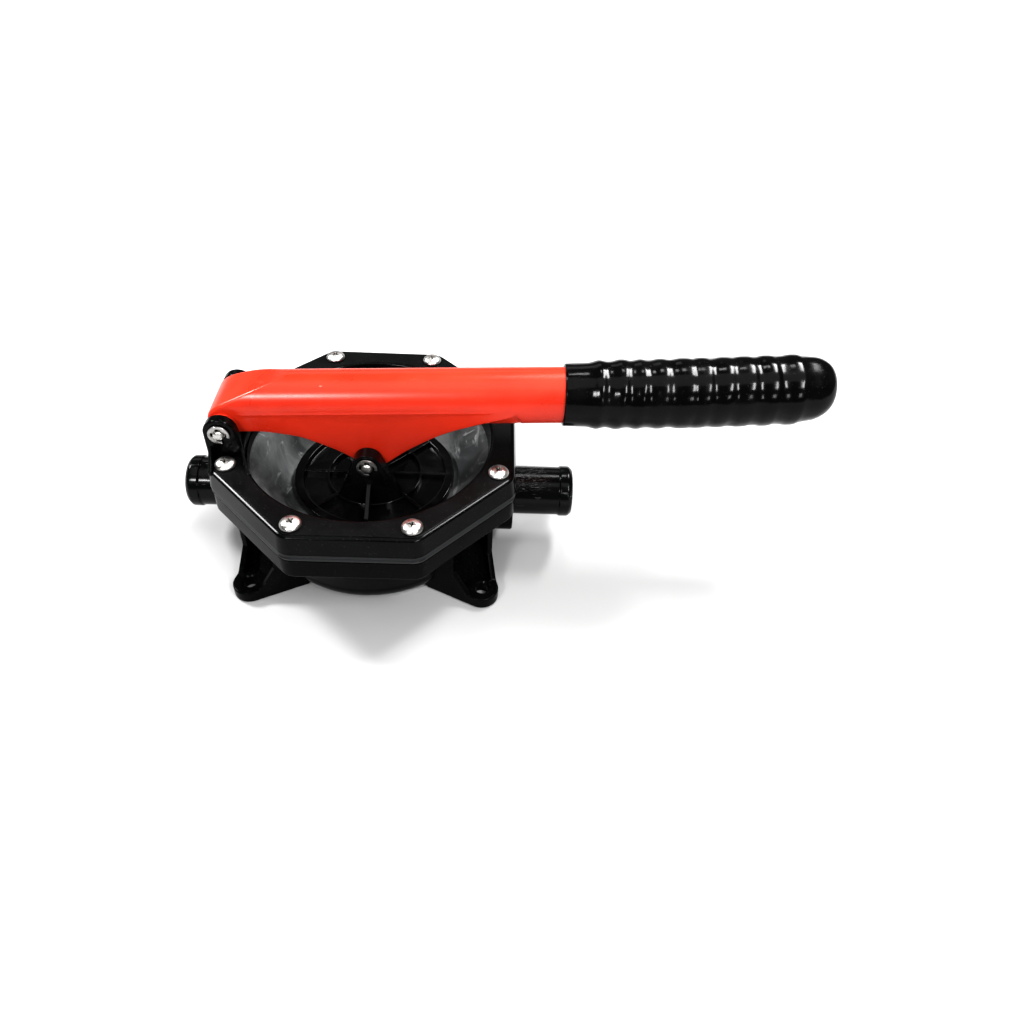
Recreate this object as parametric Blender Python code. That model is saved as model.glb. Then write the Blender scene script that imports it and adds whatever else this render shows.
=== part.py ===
"""A manual diaphragm bilge pump: an octagonal clamp ring over a round bowl, worked by a hinged lever.

The frame is in metres. The origin is on the pump's axis, on the face that it is mounted by. +Z is up,
+X runs along the lever towards its grip, and the hinge pins lie along Y.
"""

import math

import bmesh
import bpy
from mathutils import Matrix, Vector

MM = 0.001
GAP = 0.3 * MM
WELD = 0.001 * MM

# Heights above the mounting face.
FLANGE_LOW = 40.0 * MM
FLANGE_TOP = 50.9 * MM
RUBBER_TOP = 55.2 * MM
RING_TOP = 65.6 * MM
PORT_Z = 30.0 * MM

# The octagon: half the distance between opposite flats.
RING_HALF = 72.6 * MM
RING_SKIRT_HALF = 73.7 * MM
FLANGE_HALF = 73.2 * MM
CORNER_RADIUS = 9.0 * MM
RING_OPENING = 60.7 * MM

# Screws on a circle, one near each corner of the octagon.
SCREWS = 8
SCREW_CIRCLE = 70.0 * MM
SCREW_HEAD = 5.0 * MM
SCREW_HEAD_HEIGHT = 2.7 * MM
SCREW_SHANK = 1.9 * MM
SCREW_LOW = 43.5 * MM
SCREW_BORE = 2.4 * MM

# The bowl.
BOWL_FLOOR_RADIUS = 43.5 * MM
BOWL_CORNER = 14.0 * MM
BOWL_TOP_RADIUS = 64.0 * MM
BOWL_WALL = 3.5 * MM
CHAMBER_TOP_RADIUS = 59.8 * MM

# Ports. Each hose tail sits in a pocket of the body.
PORT_BLOCK_X = 73.2 * MM
PORT_BLOCK_HALF = 21.0 * MM
PORT_BLOCK_LOW = 15.5 * MM
PORT_BLOCK_CORNER = 9.8 * MM
POCKET_RADIUS = 13.0 * MM
POCKET_X = 62.0 * MM
TAIL_RADIUS = 12.7 * MM
TAIL_BORE = 10.0 * MM
TAIL_BEAD = 13.3 * MM
INLET_START = 66.2 * MM
INLET_END = 95.1 * MM
OUTLET_START = 64.7 * MM
OUTLET_END = 104.2 * MM
INLET_OPENING = 11.8 * MM
OUTLET_OPENING = 9.5 * MM
OUTLET_COUNTERBORE = 11.6 * MM

# Flap valves.
FLAP_RADIUS = 10.6 * MM
FLAP_THICK = 2.0 * MM
FLAP_HINGE_Z = 39.2 * MM
FLAP_TOP_Z = 39.8 * MM

# Feet: the front right one, which the others mirror.
FOOT_X = 58.3 * MM
FOOT_Y = 48.1 * MM
FOOT_LUG = 8.5 * MM
FOOT_HOLE = 3.4 * MM
FOOT_THICK = 6.5 * MM
FOOT_WALL = 3.0 * MM
FOOT_SHOULDER = 18.5 * MM

# Pins, in the lever's two pivots.
PIN_RADIUS = 2.7 * MM
PIN_BORE = 3.0 * MM
PIN_HALF = 23.6 * MM
GROOVE_RADIUS = 2.0 * MM
CLIP_RADIUS = 5.1 * MM
CLIP_THICK = 0.8 * MM
EAR_INNER = 15.6 * MM
EAR_OUTER = 21.0 * MM
EAR_RADIUS = 7.7 * MM
HINGE = Vector((-66.5, 0, 79.6)) * MM
CLEVIS = Vector((1.0, 0, 61.7)) * MM
CHEEK_INNER = 14.3 * MM
CHEEK_RADIUS = 6.8 * MM
CHEEK_FOOT = ((16.0, 14.3), (16.0, 16.8), (13.0, 19.2), (9.8, 21.0))  # millimetres, inside the rib ring

# The plate on top of the diaphragm.
PLATE_RADIUS = 41.0 * MM
PLATE_RIM_INNER = 36.4 * MM
PLATE_LOW = 34.2 * MM
PLATE_FLOOR = 37.2 * MM
PLATE_TOP = 40.0 * MM
RIB_RING = 24.6 * MM
RIB_THICK = 1.7 * MM
RIBS = 8

# The diaphragm's middle, and the clamp plate under it.
DIAPHRAGM_LOW = 31.9 * MM
DIAPHRAGM_TOP = 33.9 * MM
CLAMP_RADIUS = 39.5 * MM
CLAMP_LOW = 28.9 * MM
PLATE_SCREW_RADIUS = 2.7 * MM
PLATE_SCREW_BORE = 3.1 * MM
PLATE_SCREW_TOP = 45.0 * MM
PLATE_SCREW_HEAD = 5.5 * MM

# The lever.
LEVER_RADIUS = 13.5 * MM
LEVER_WALL = 3.2 * MM
LEVER_CHANNEL_END = 36.0 * MM
LEVER_END = 214.0 * MM
LEVER_AXIS_Z = 88.6 * MM
LEVER_SLOPE = 0.052
LEVER_BEND_X = 110.0 * MM
LEVER_BEND = 0.245
HUB_HALF = 15.2 * MM
HUB_RADIUS = 6.3 * MM
SLOT_TRAVEL = 2.2 * MM

# The grip.
GRIP_START = 94.6 * MM
GRIP_END = 222.0 * MM
GRIP_RINGS = 10
GRIP_RING_START = 111.2 * MM
GRIP_RING_PITCH = 10.05 * MM
GRIP_RING_HEIGHT = 0.9 * MM

TURNS = {
    "X": Matrix.Rotation(math.radians(90), 4, "Y"),
    "Y": Matrix.Rotation(math.radians(-90), 4, "X"),
    "Z": Matrix.Identity(4),
}


# Making meshes.


def clear_scene():
    for obj in list(bpy.data.objects):
        bpy.data.objects.remove(obj, do_unlink=True)


def make_object(name, work):
    """Turns a finished bmesh into an object of the scene."""
    bmesh.ops.recalc_face_normals(work, faces=work.faces)
    mesh = bpy.data.meshes.new(name)
    work.to_mesh(mesh)
    work.free()
    mesh.shade_smooth()
    mesh.set_sharp_from_angle(angle=math.radians(35))
    obj = bpy.data.objects.new(name, mesh)
    bpy.context.scene.collection.objects.link(obj)
    return obj


def stacked(name, loops):
    """A closed solid through loops of matching points, capped at the first and the last."""
    work = bmesh.new()
    rows = [[work.verts.new(point) for point in loop] for loop in loops]
    for low, high in zip(rows, rows[1:]):
        for i, corner in enumerate(low):
            work.faces.new((low[i - 1], corner, high[i], high[i - 1]))
    work.faces.new(rows[0])
    work.faces.new(rows[-1])
    return make_object(name, work)


def turned(name, profile, centre=(0, 0, 0), axis="Z", steps=48, ring=False):
    """Turns (radius, height) points about an axis. A ring's profile closes on itself."""
    work = bmesh.new()
    corners = [work.verts.new((radius, 0, height)) for radius, height in profile]
    edges = [work.edges.new(pair) for pair in zip(corners, corners[1:])]
    if ring:
        edges.append(work.edges.new((corners[-1], corners[0])))
    bmesh.ops.spin(
        work, geom=corners + edges, axis=(0, 0, 1), angle=math.tau, steps=steps, use_merge=True
    )
    bmesh.ops.remove_doubles(work, verts=work.verts, dist=WELD)
    work.transform(Matrix.Translation(centre) @ TURNS[axis])
    return make_object(name, work)


def cylinder(name, radius, low, high, centre=(0, 0, 0), axis="Z", steps=48):
    profile = [(0, low), (radius, low), (radius, high), (0, high)]
    return turned(name, profile, centre, axis, steps)


def hulled(name, points):
    """The tightest convex solid around some points."""
    work = bmesh.new()
    for point in points:
        work.verts.new(point)
    found = bmesh.ops.convex_hull(work, input=work.verts)
    inside = [item for item in found["geom_interior"] if isinstance(item, bmesh.types.BMVert)]
    bmesh.ops.delete(work, geom=inside, context="VERTS")
    return make_object(name, work)


def along_y(outline, low, high):
    """Two matching loops of an (x, z) outline, at two places along Y."""
    return [[(x, y, z) for x, z in outline] for y in (low, high)]


def arc(centre, radius, start, end, steps):
    """Points along an arc, its angles in degrees."""
    angles = [math.radians(start + (end - start) * i / steps) for i in range(steps + 1)]
    return [
        (centre[0] + radius * math.cos(angle), centre[1] + radius * math.sin(angle))
        for angle in angles
    ]


def smooth(points, steps=4):
    """A curve through the points, each stretch of it in a few steps."""
    ends = [points[0], *points, points[-1]]
    curve = []
    for before, start, end, after in zip(ends, ends[1:], ends[2:], ends[3:]):
        for i in range(steps):
            t = i / steps
            curve.append(
                tuple(
                    0.5
                    * (
                        2 * b
                        + (c - a) * t
                        + (2 * a - 5 * b + 4 * c - d) * t**2
                        + (3 * b - a - 3 * c + d) * t**3
                    )
                    for a, b, c, d in zip(before, start, end, after)
                )
            )
    return [*curve, tuple(points[-1])]


def scaled(points):
    return [tuple(value * MM for value in point) for point in points]


# Joining, cutting and finishing objects.


def combine(obj, operation, *tools):
    for tool in tools:
        modifier = obj.modifiers.new(tool.name, "BOOLEAN")
        modifier.operation = operation
        modifier.object = tool
        tool.hide_render = True
        tool.display_type = "WIRE"
    return obj


def finish(obj, material, joint=None):
    """Gives the object its material and, where it moves, its joint's empty as its parent."""
    obj.data.materials.append(material)
    if joint:
        obj.parent = joint
        obj.matrix_parent_inverse = Matrix.Translation(-joint.location)
    return obj


def make_joint(name, place):
    joint = bpy.data.objects.new(name, None)
    joint.location = place
    joint.empty_display_size = 10 * MM
    bpy.context.scene.collection.objects.link(joint)
    return joint


def make_material(name, colour, roughness, metallic=0.0):
    material = bpy.data.materials.new(name)
    material.use_nodes = True
    material.diffuse_color = (*colour, 1.0)
    shader = material.node_tree.nodes["Principled BSDF"]
    shader.inputs["Base Color"].default_value = (*colour, 1.0)
    shader.inputs["Roughness"].default_value = roughness
    shader.inputs["Metallic"].default_value = metallic
    return material


# Shapes that several pieces share.


def octagon(half, height):
    """An octagon with rounded corners, its flats facing X and Y."""
    reach = (half - CORNER_RADIUS) / math.cos(math.radians(22.5))
    points = []
    for turn in range(8):
        corner = math.radians(22.5 + 45 * turn)
        centre = (reach * math.cos(corner), reach * math.sin(corner))
        points += arc(centre, CORNER_RADIUS, 45 * turn, 45 * turn + 45, 3)
    return [(x, y, height) for x, y in points]


def screw_places():
    for turn in range(SCREWS):
        angle = math.radians(22.5 + 45 * turn)
        yield SCREW_CIRCLE * math.cos(angle), SCREW_CIRCLE * math.sin(angle)


def screw_bores(name, radius, low, high):
    return [
        cylinder(f"{name}_bore_{i}", radius, low, high, (x, y, 0), steps=10)
        for i, (x, y) in enumerate(screw_places())
    ]


def lever_axis(x):
    """The height of the lever's middle line: straight, then bending up towards the grip's end."""
    return LEVER_AXIS_Z + LEVER_SLOPE * x + LEVER_BEND * max(0.0, x - LEVER_BEND_X) ** 2


def lever_circle(x, radius, steps=28):
    points = arc((0, lever_axis(x)), radius, 0, 360 - 360 / steps, steps - 1)
    return [(x, y, z) for y, z in points]


# The body.


def foot_point(x, y, z, side_x, side_y):
    """A point of the front right foot, moved to the foot on the given sides."""
    return (side_x * x * MM, -side_y * y * MM, z * MM)


def foot_wall(name, start, end, outline, inward, sides):
    """An upright wall whose outline is in (distance from the start, height), in millimetres."""
    run = Vector(end) - Vector(start)
    run.normalize()
    inset = Vector((-run.y, run.x)) * inward * FOOT_WALL / MM
    loops = []
    for shift in (Vector((0, 0)), inset):
        places = [(Vector(start) + run * along + shift, z) for along, z in outline]
        loops.append([foot_point(place.x, place.y, z, *sides) for place, z in places])
    return stacked(name, loops)


def foot(index, side_x, side_y):
    """The solids of one foot: its pad, two walls up to the flange, and a sloping floor between them."""
    sides = (side_x, side_y)
    lug_x, lug_y, lug, thick, shoulder, top = (
        value / MM for value in (FOOT_X, FOOT_Y, FOOT_LUG, FOOT_THICK, FOOT_SHOULDER, FLANGE_LOW)
    )
    rim = [(*point, z) for z in (0, thick) for point in arc((lug_x, -lug_y), lug, 0, 337.5, 15)]
    root = [(x, y, z) for z in (0, thick) for x, y in ((30, -43.6), (32, -30), (50, -18), (60, -24))]
    pad = hulled(f"foot_pad_{index}", [foot_point(*point, *sides) for point in rim + root])
    edge = [(11.5, top + 1), (11.5, shoulder), (3, thick), (0, thick - 0.5)]
    front_view = [(0, 1), (32, 1), (32, top + 1), *edge]
    side_view = [(0, 1), (26, 1), (26, top + 1), *edge]
    front = foot_wall(f"foot_front_wall_{index}", (54.3, -55.6), (30, -43.6), front_view, -1, sides)
    side = foot_wall(f"foot_side_wall_{index}", (66.5, -45.6), (60, -24), side_view, 1, sides)
    foot_of_slope = [(*point, z) for z in (1, thick - 0.2) for point in ((45.4, -48.8), (62.2, -36.0))]
    head_of_slope = [(*point, z) for z in (1, 27) for point in ((31.2, -42.0), (58.5, -22.4))]
    slope = [foot_point(*point, *sides) for point in foot_of_slope + head_of_slope]
    floor = hulled(f"foot_floor_{index}", slope)
    place = foot_point(lug_x, -lug_y, 0, *sides)
    hole = cylinder(f"foot_hole_{index}", FOOT_HOLE, -5 * MM, FOOT_THICK + 5 * MM, place, steps=16)
    return [pad, front, side, floor], hole


def bowl(name, inset, low, top, top_radius):
    """The bowl's outer form, or, with an inset, the chamber inside it."""
    corner = BOWL_CORNER - inset
    profile = [(0, low)]
    profile += arc((BOWL_FLOOR_RADIUS, low + corner), corner, -90, 0, 5)
    profile += [(top_radius, FLANGE_LOW + 1.0 * MM), (top_radius, top), (0, top)]
    return turned(name, profile, steps=48)


def port_block(name, side):
    """The squared boss that a hose tail is set in, with its lower corners rounded."""
    half, low, corner = PORT_BLOCK_HALF, PORT_BLOCK_LOW, PORT_BLOCK_CORNER
    top = FLANGE_LOW + 1.0 * MM
    outline = arc((half - corner, low + corner), corner, 0, -90, 5)
    outline += arc((corner - half, low + corner), corner, -90, -180, 5)
    outline += [(-half, top), (half, top)]
    ends = (side * 50 * MM, side * PORT_BLOCK_X)
    return stacked(name, [[(x, y, z) for y, z in outline] for x in ends])


def pump_body(material):
    body = bowl("pump_body", 0, 0, FLANGE_LOW + 2.0 * MM, BOWL_TOP_RADIUS)
    flange = stacked(
        "flange",
        [
            octagon(FLANGE_HALF - 0.8 * MM, FLANGE_LOW),
            octagon(FLANGE_HALF, FLANGE_LOW + 0.8 * MM),
            octagon(FLANGE_HALF, FLANGE_TOP),
        ],
    )
    combine(body, "UNION", flange, port_block("inlet_block", -1), port_block("outlet_block", 1))
    holes = []
    sides = [(x, y) for x in (-1, 1) for y in (-1, 1)]
    for index, (side_x, side_y) in enumerate(sides):
        solids, hole = foot(index, side_x, side_y)
        combine(body, "UNION", *solids)
        holes.append(hole)
    chamber = bowl("chamber", BOWL_WALL, BOWL_WALL, FLANGE_TOP + 1.0 * MM, CHAMBER_TOP_RADIUS)
    centre = (0, 0, PORT_Z)
    pockets = [
        cylinder("inlet_pocket", POCKET_RADIUS, -80 * MM, -POCKET_X, centre, "X"),
        cylinder("inlet_mouth", INLET_OPENING, -POCKET_X - 2 * MM, -45 * MM, centre, "X"),
        cylinder("outlet_pocket", POCKET_RADIUS, POCKET_X, 80 * MM, centre, "X"),
        cylinder("outlet_mouth", OUTLET_OPENING, 45 * MM, POCKET_X + 2 * MM, centre, "X"),
    ]
    pilots = screw_bores("pilot", SCREW_BORE, SCREW_LOW - 1.0 * MM, FLANGE_TOP + 1.0 * MM)
    combine(body, "DIFFERENCE", chamber, *pockets, *holes, *pilots)
    return finish(body, material)


# The clamp ring, with the lever's ears.


def ear(name, side):
    """A round-topped ear that stands on the ring's left flat and holds the hinge pin."""
    x, z = HINGE.x, HINGE.z
    outline = [(x - EAR_RADIUS, RING_TOP - 4 * MM), (x + 9.6 * MM, RING_TOP - 4 * MM)]
    outline += [(x + 9.6 * MM, RING_TOP + 2 * MM)]
    outline += arc((x, z), EAR_RADIUS, 15, 180, 12)
    return stacked(name, along_y(outline, side * EAR_INNER, side * EAR_OUTER))


def ear_fin(name, side, root, tip, thick):
    """A low triangular fin that braces an ear from outside, on top of the ring."""
    half, low = thick / 2, RING_TOP - 2 * MM
    ends = ((root, EAR_OUTER - 1 * MM, RING_TOP + 6 * MM), (*tip, RING_TOP + 0.1 * MM))
    loops = []
    for x, y, top in ends:
        corners = [(x - half, low), (x + half, low), (x + half, top), (x - half, top)]
        loops.append([(corner_x, side * y, z) for corner_x, z in corners])
    return stacked(name, loops)


def clamp_ring(material):
    ring = stacked(
        "clamp_ring",
        [
            octagon(RING_SKIRT_HALF, RUBBER_TOP + GAP),
            octagon(RING_HALF + 0.3 * MM, RING_TOP - 1.6 * MM),
            octagon(RING_HALF - 0.4 * MM, RING_TOP - 0.4 * MM),
            octagon(RING_HALF - 1.5 * MM, RING_TOP),
        ],
    )
    for side, place in ((-1, "front"), (1, "rear")):
        combine(
            ring,
            "UNION",
            ear(f"{place}_ear", side),
            ear_fin(f"{place}_outer_fin", side, -72.6 * MM, (-70.5 * MM, 33 * MM), 1.6 * MM),
            ear_fin(f"{place}_inner_fin", side, -57.4 * MM, (-52.0 * MM, 33 * MM), 2.4 * MM),
        )
    low, top = RUBBER_TOP - 2 * MM, RING_TOP + 0.5 * MM
    opening = turned(
        "opening",
        [
            (0, low),
            (RING_OPENING - 1.2 * MM, low),
            (RING_OPENING - 1.2 * MM, RUBBER_TOP + 1.5 * MM),
            (RING_OPENING, RING_TOP - 1.2 * MM),
            (RING_OPENING + 1.0 * MM, top),
            (0, top),
        ],
        steps=48,
    )
    pin = cylinder("ear_bores", PIN_BORE, -30 * MM, 30 * MM, HINGE, "Y", 16)
    bores = screw_bores("ring", SCREW_BORE, RUBBER_TOP - 2 * MM, RING_TOP + 2 * MM)
    combine(ring, "DIFFERENCE", opening, pin, *bores)
    return finish(ring, material)


def ring_screws(material):
    """Pan-head screws with a cross recess, through the ring and the rubber into the body."""
    base = RING_TOP + GAP
    top = base + SCREW_HEAD_HEIGHT
    profile = [
        (0, top),
        (2.0 * MM, top - 0.1 * MM),
        (3.8 * MM, top - 0.7 * MM),
        (SCREW_HEAD, top - 1.8 * MM),
        (SCREW_HEAD, base),
        (SCREW_SHANK, base),
        (SCREW_SHANK, SCREW_LOW),
        (0, SCREW_LOW),
    ]
    for i, (x, y) in enumerate(screw_places(), start=1):
        screw = turned(f"ring_screw_{i}", profile, (x, y, 0), steps=12)
        for arm, (wide, deep) in enumerate(((2.6, 0.5), (0.5, 2.6))):
            mouth = [(wide, deep), (-wide, deep), (-wide, -deep), (wide, -deep)]
            loops = [
                [(x + a * MM * part, y + b * MM * part, z) for a, b in mouth]
                for part, z in ((0.6, top - 1.6 * MM), (1.1, top + 0.5 * MM))
            ]
            combine(screw, "DIFFERENCE", stacked(f"recess_{i}_{arm}", loops))
        finish(screw, material)


# The diaphragm and what is clamped to its middle.


def diaphragm(material):
    rim = stacked(
        "diaphragm",
        [
            octagon(RING_SKIRT_HALF - 0.2 * MM, FLANGE_TOP + GAP),
            octagon(RING_SKIRT_HALF - 0.2 * MM, RUBBER_TOP),
        ],
    )
    middle = cylinder("rim_middle", 57.2 * MM, FLANGE_TOP - 1 * MM, RUBBER_TOP + 1 * MM)
    upper = scaled([(40.5, 33.9), (43.8, 35.6), (48.5, 41.8), (53.2, 49.0), (57.2, 53.4), (61.5, 54.6)])
    lower = scaled([(62.0, 51.8), (58.4, 51.6), (55.4, 48.0), (50.2, 40.6), (45.6, 34.2), (41.2, 31.9)])
    hole = PLATE_SCREW_BORE + CLEVIS.x
    cone = turned(
        "cone",
        [(hole, DIAPHRAGM_LOW), (hole, DIAPHRAGM_TOP), *upper, *lower],
        ring=True,
    )
    combine(rim, "DIFFERENCE", middle)
    combine(rim, "UNION", cone)
    bores = screw_bores("rubber", SCREW_BORE, FLANGE_TOP - 1 * MM, RUBBER_TOP + 1 * MM)
    combine(rim, "DIFFERENCE", *bores)
    return finish(rim, material)


def cheek(name, side):
    """One side of the clevis: round about the pin, and spreading towards the plate."""
    boss = [
        (x, side * y, z)
        for x, z in arc((CLEVIS.x, CLEVIS.z), CHEEK_RADIUS, 0, 345, 23)
        for y in (CHEEK_INNER, EAR_OUTER)
    ]
    base = [
        (CLEVIS.x + end * x * MM, side * y * MM, z * MM)
        for end in (-1, 1)
        for x, y in CHEEK_FOOT
        for z in (35.2, 40.2)
    ]
    return hulled(name, boss + base)


def gusset(name, side):
    """An upright rib from the plate's rim to the middle of a cheek."""
    half = RIB_THICK / 2 + 0.3 * MM
    outline = scaled([(20.0, 35.8), (37.0, 35.8), (37.0, 41.9), (20.0, 50.9)])
    loops = [[(CLEVIS.x + x, side * y, z) for y, z in outline] for x in (-half, half)]
    return stacked(name, loops)


def diaphragm_plate(material, joint):
    centre = (CLEVIS.x, 0, 0)
    plate = turned(
        "diaphragm_plate",
        [
            (0, PLATE_LOW),
            (PLATE_RADIUS - 2.0 * MM, PLATE_LOW),
            (PLATE_RADIUS, PLATE_LOW + 2.0 * MM),
            (PLATE_RADIUS, PLATE_TOP - 0.8 * MM),
            (PLATE_RADIUS - 0.8 * MM, PLATE_TOP),
            (PLATE_RIM_INNER, PLATE_TOP),
            (PLATE_RIM_INNER, PLATE_FLOOR),
            (0, PLATE_FLOOR),
        ],
        centre,
    )
    rib_low, rib_top = PLATE_FLOOR - 1.0 * MM, PLATE_TOP - 0.1 * MM
    ring = turned(
        "rib_ring",
        [
            (RIB_RING - RIB_THICK, rib_low),
            (RIB_RING, rib_low),
            (RIB_RING, rib_top),
            (RIB_RING - RIB_THICK, rib_top),
        ],
        centre,
        ring=True,
    )
    ribs = []
    for i in range(RIBS // 2):
        angle = math.radians(360 / RIBS * i)
        run = Vector((math.cos(angle), math.sin(angle), 0)) * (PLATE_RIM_INNER + 1 * MM)
        across = Vector((-math.sin(angle), math.cos(angle), 0)) * RIB_THICK / 2
        corners = [run + across, run - across, -run - across, -run + across]
        low = Vector((CLEVIS.x, 0, rib_low - 0.2 * MM))
        high = Vector((CLEVIS.x, 0, rib_top - 0.1 * MM))
        ribs.append(stacked(f"rib_{i}", [[end + corner for corner in corners] for end in (low, high)]))
    boss = cylinder("screw_boss", 6.5 * MM, rib_low - 0.6 * MM, 48.0 * MM, centre, steps=32)
    clevis = [cheek("front_cheek", -1), cheek("rear_cheek", 1)]
    clevis += [gusset("front_gusset", -1), gusset("rear_gusset", 1)]
    combine(plate, "UNION", ring, *ribs, boss, *clevis)
    pin = cylinder("clevis_bore", PIN_BORE, -30 * MM, 30 * MM, CLEVIS, "Y", 16)
    thread = cylinder(
        "thread_bore", PLATE_SCREW_BORE, PLATE_LOW - 2 * MM, PLATE_SCREW_TOP + GAP, centre, steps=20
    )
    combine(plate, "DIFFERENCE", pin, thread)
    return finish(plate, material, joint)


def clamp_plate(material, joint):
    top = DIAPHRAGM_LOW - GAP
    plate = turned(
        "clamp_plate",
        [
            (PLATE_SCREW_BORE, CLAMP_LOW),
            (CLAMP_RADIUS - 1.5 * MM, CLAMP_LOW),
            (CLAMP_RADIUS, CLAMP_LOW + 1.5 * MM),
            (CLAMP_RADIUS, top),
            (PLATE_SCREW_BORE, top),
        ],
        (CLEVIS.x, 0, 0),
        ring=True,
    )
    return finish(plate, material, joint)


def plate_screw(material, joint):
    head = CLAMP_LOW - GAP
    screw = turned(
        "plate_screw",
        [
            (0, PLATE_SCREW_TOP),
            (PLATE_SCREW_RADIUS, PLATE_SCREW_TOP),
            (PLATE_SCREW_RADIUS, head),
            (PLATE_SCREW_HEAD, head),
            (PLATE_SCREW_HEAD, head - 2.0 * MM),
            (3.0 * MM, head - 3.4 * MM),
            (0, head - 3.4 * MM),
        ],
        (CLEVIS.x, 0, 0),
        steps=24,
    )
    return finish(screw, material, joint)


# Pins and clips.


def pin(name, place, material, joint=None):
    """A plain pin along Y with a groove near each end for its clip."""
    groove_low, groove_high = EAR_OUTER + 0.1 * MM, EAR_OUTER + 0.1 * MM + CLIP_THICK + 2 * GAP
    half = [
        (0, -PIN_HALF),
        (PIN_RADIUS - 0.4 * MM, -PIN_HALF),
        (PIN_RADIUS, 0.4 * MM - PIN_HALF),
        (PIN_RADIUS, -groove_high),
        (GROOVE_RADIUS, -groove_high),
        (GROOVE_RADIUS, -groove_low),
        (PIN_RADIUS, -groove_low),
    ]
    profile = half + [(radius, -along) for radius, along in reversed(half)]
    return finish(turned(name, profile, place, "Y", 16), material, joint)


def clip(name, place, side, material, joint=None):
    """An E-clip: three inner teeth grip the groove, and its mouth opens down to the right."""
    outer = arc((0, 0), CLIP_RADIUS, 30, 330, 20)
    tooth, relief = GROOVE_RADIUS + GAP, 3.7 * MM
    inner = [*arc((0, 0), relief, 330, 295, 3), *arc((0, 0), tooth, 288, 252, 3)]
    inner += [*arc((0, 0), relief, 245, 205, 3), *arc((0, 0), tooth, 198, 162, 3)]
    inner += [*arc((0, 0), relief, 155, 115, 3), *arc((0, 0), tooth, 108, 72, 3)]
    inner += arc((0, 0), relief, 65, 30, 3)
    turn = Matrix.Rotation(math.radians(-45), 2)
    outline = [turn @ Vector(point) for point in outer + inner]
    low = EAR_OUTER + 0.1 * MM + GAP
    loops = along_y(outline, side * low, side * (low + CLIP_THICK))
    washer = stacked(name, [[Vector(point) + place for point in loop] for loop in loops])
    return finish(washer, material, joint)


# The lever.


def lever_section(name, radius, low, start, end, stations):
    """A tunnel-shaped bar: a half round on the lever's middle line, with straight sides down to low."""
    loops = []
    for i in range(stations + 1):
        x = start + (end - start) * i / stations
        top = arc((0, lever_axis(x)), radius, 0, 180, 14)
        loops.append([(x, y, z) for y, z in [*top, (-radius, low), (radius, low)]])
    return stacked(name, loops)


def lever_outline():
    """The lever's side view: a nose about the hinge, and a web down to the clevis pin."""
    nose = [(-73.9, 79.0), (-72.7, 84.6), (-68, 89.2), (-60, 92.7), (-50, 96.6), (-36, 100.6)]
    heel = arc((-66.5 * MM, 79.0 * MM), 7.4 * MM, 180, 230, 4)
    left = [(-60, 74.9), (-45, 75.1), (-31, 72.8), (-20, 68.4), (-7.3, 60.5)]
    tip = arc((3.6 * MM, 60.4 * MM), 6.0 * MM, 236, 310, 6)
    right = [(9.2, 57.3), (20, 66.3), (31.3, 73.7), (45, 80.4), (60, 85.4), (74, 92.2)]
    underside = [*heel, *smooth(scaled(left)), *tip, *smooth(scaled(right))]
    return [*reversed(smooth(scaled(nose))), *underside, *scaled([(74, 112), (-30, 112)])]


def lever_hollow_outline():
    """The channel's side view: it stops short of the lever's nose and runs out below."""
    nose = scaled([(-20, 110), (-36, 97), (-50, 93), (-60, 89), (-66, 85.4), (-68.5, 80), (-68.5, 40)])
    return [*nose, (LEVER_CHANNEL_END, 40 * MM), (LEVER_CHANNEL_END, 110 * MM)]


def handle(material, joint):
    lever = lever_section("handle", LEVER_RADIUS, 45 * MM, -80 * MM, 82 * MM, 6)
    side_view = stacked("side_view", along_y(lever_outline(), -20 * MM, 20 * MM))
    combine(lever, "INTERSECT", side_view)
    bends = [x * MM for x in (74, 92, 110, 130, 150, 170, 190)]
    tube_ends = (LEVER_CHANNEL_END + 0.5 * MM, *bends, LEVER_END)
    tube = stacked("tube", [lever_circle(x, LEVER_RADIUS - 0.02 * MM) for x in tube_ends])
    combine(lever, "UNION", tube)
    inner = LEVER_RADIUS - LEVER_WALL
    channel = lever_section("channel", inner, 35 * MM, -80 * MM, LEVER_CHANNEL_END + 5 * MM, 6)
    channel_view = stacked("channel_view", along_y(lever_hollow_outline(), -20 * MM, 20 * MM))
    combine(channel, "INTERSECT", channel_view)
    bore_ends = (LEVER_CHANNEL_END - 2 * MM, *bends, LEVER_END + 5 * MM)
    bore = stacked("bore", [lever_circle(x, inner - 0.02 * MM, 24) for x in bore_ends])
    combine(lever, "DIFFERENCE", channel, bore)
    combine(lever, "UNION", cylinder("hub", HUB_RADIUS, -HUB_HALF, HUB_HALF, HINGE, "Y", 32))
    pin_hole = cylinder("hinge_bore", PIN_BORE, -30 * MM, 30 * MM, HINGE, "Y", 16)
    reach = CLEVIS - HINGE
    tilt = math.degrees(math.atan2(reach.z, reach.x))
    middle = (CLEVIS.x, CLEVIS.z)
    shift = Vector((math.cos(math.radians(tilt)), math.sin(math.radians(tilt)))) * SLOT_TRAVEL
    slot_radius = PIN_BORE + 0.2 * MM
    outer_end = (middle[0] + shift.x * 0.8, middle[1] + shift.y * 0.8)
    inner_end = (middle[0] - shift.x * 1.15, middle[1] - shift.y * 1.15)
    slot = arc(outer_end, slot_radius, tilt - 90, tilt + 90, 10)
    slot += arc(inner_end, slot_radius, tilt + 90, tilt + 270, 10)
    combine(lever, "DIFFERENCE", pin_hole, stacked("slot", along_y(slot, -30 * MM, 30 * MM)))
    return finish(lever, material, joint)


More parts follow.
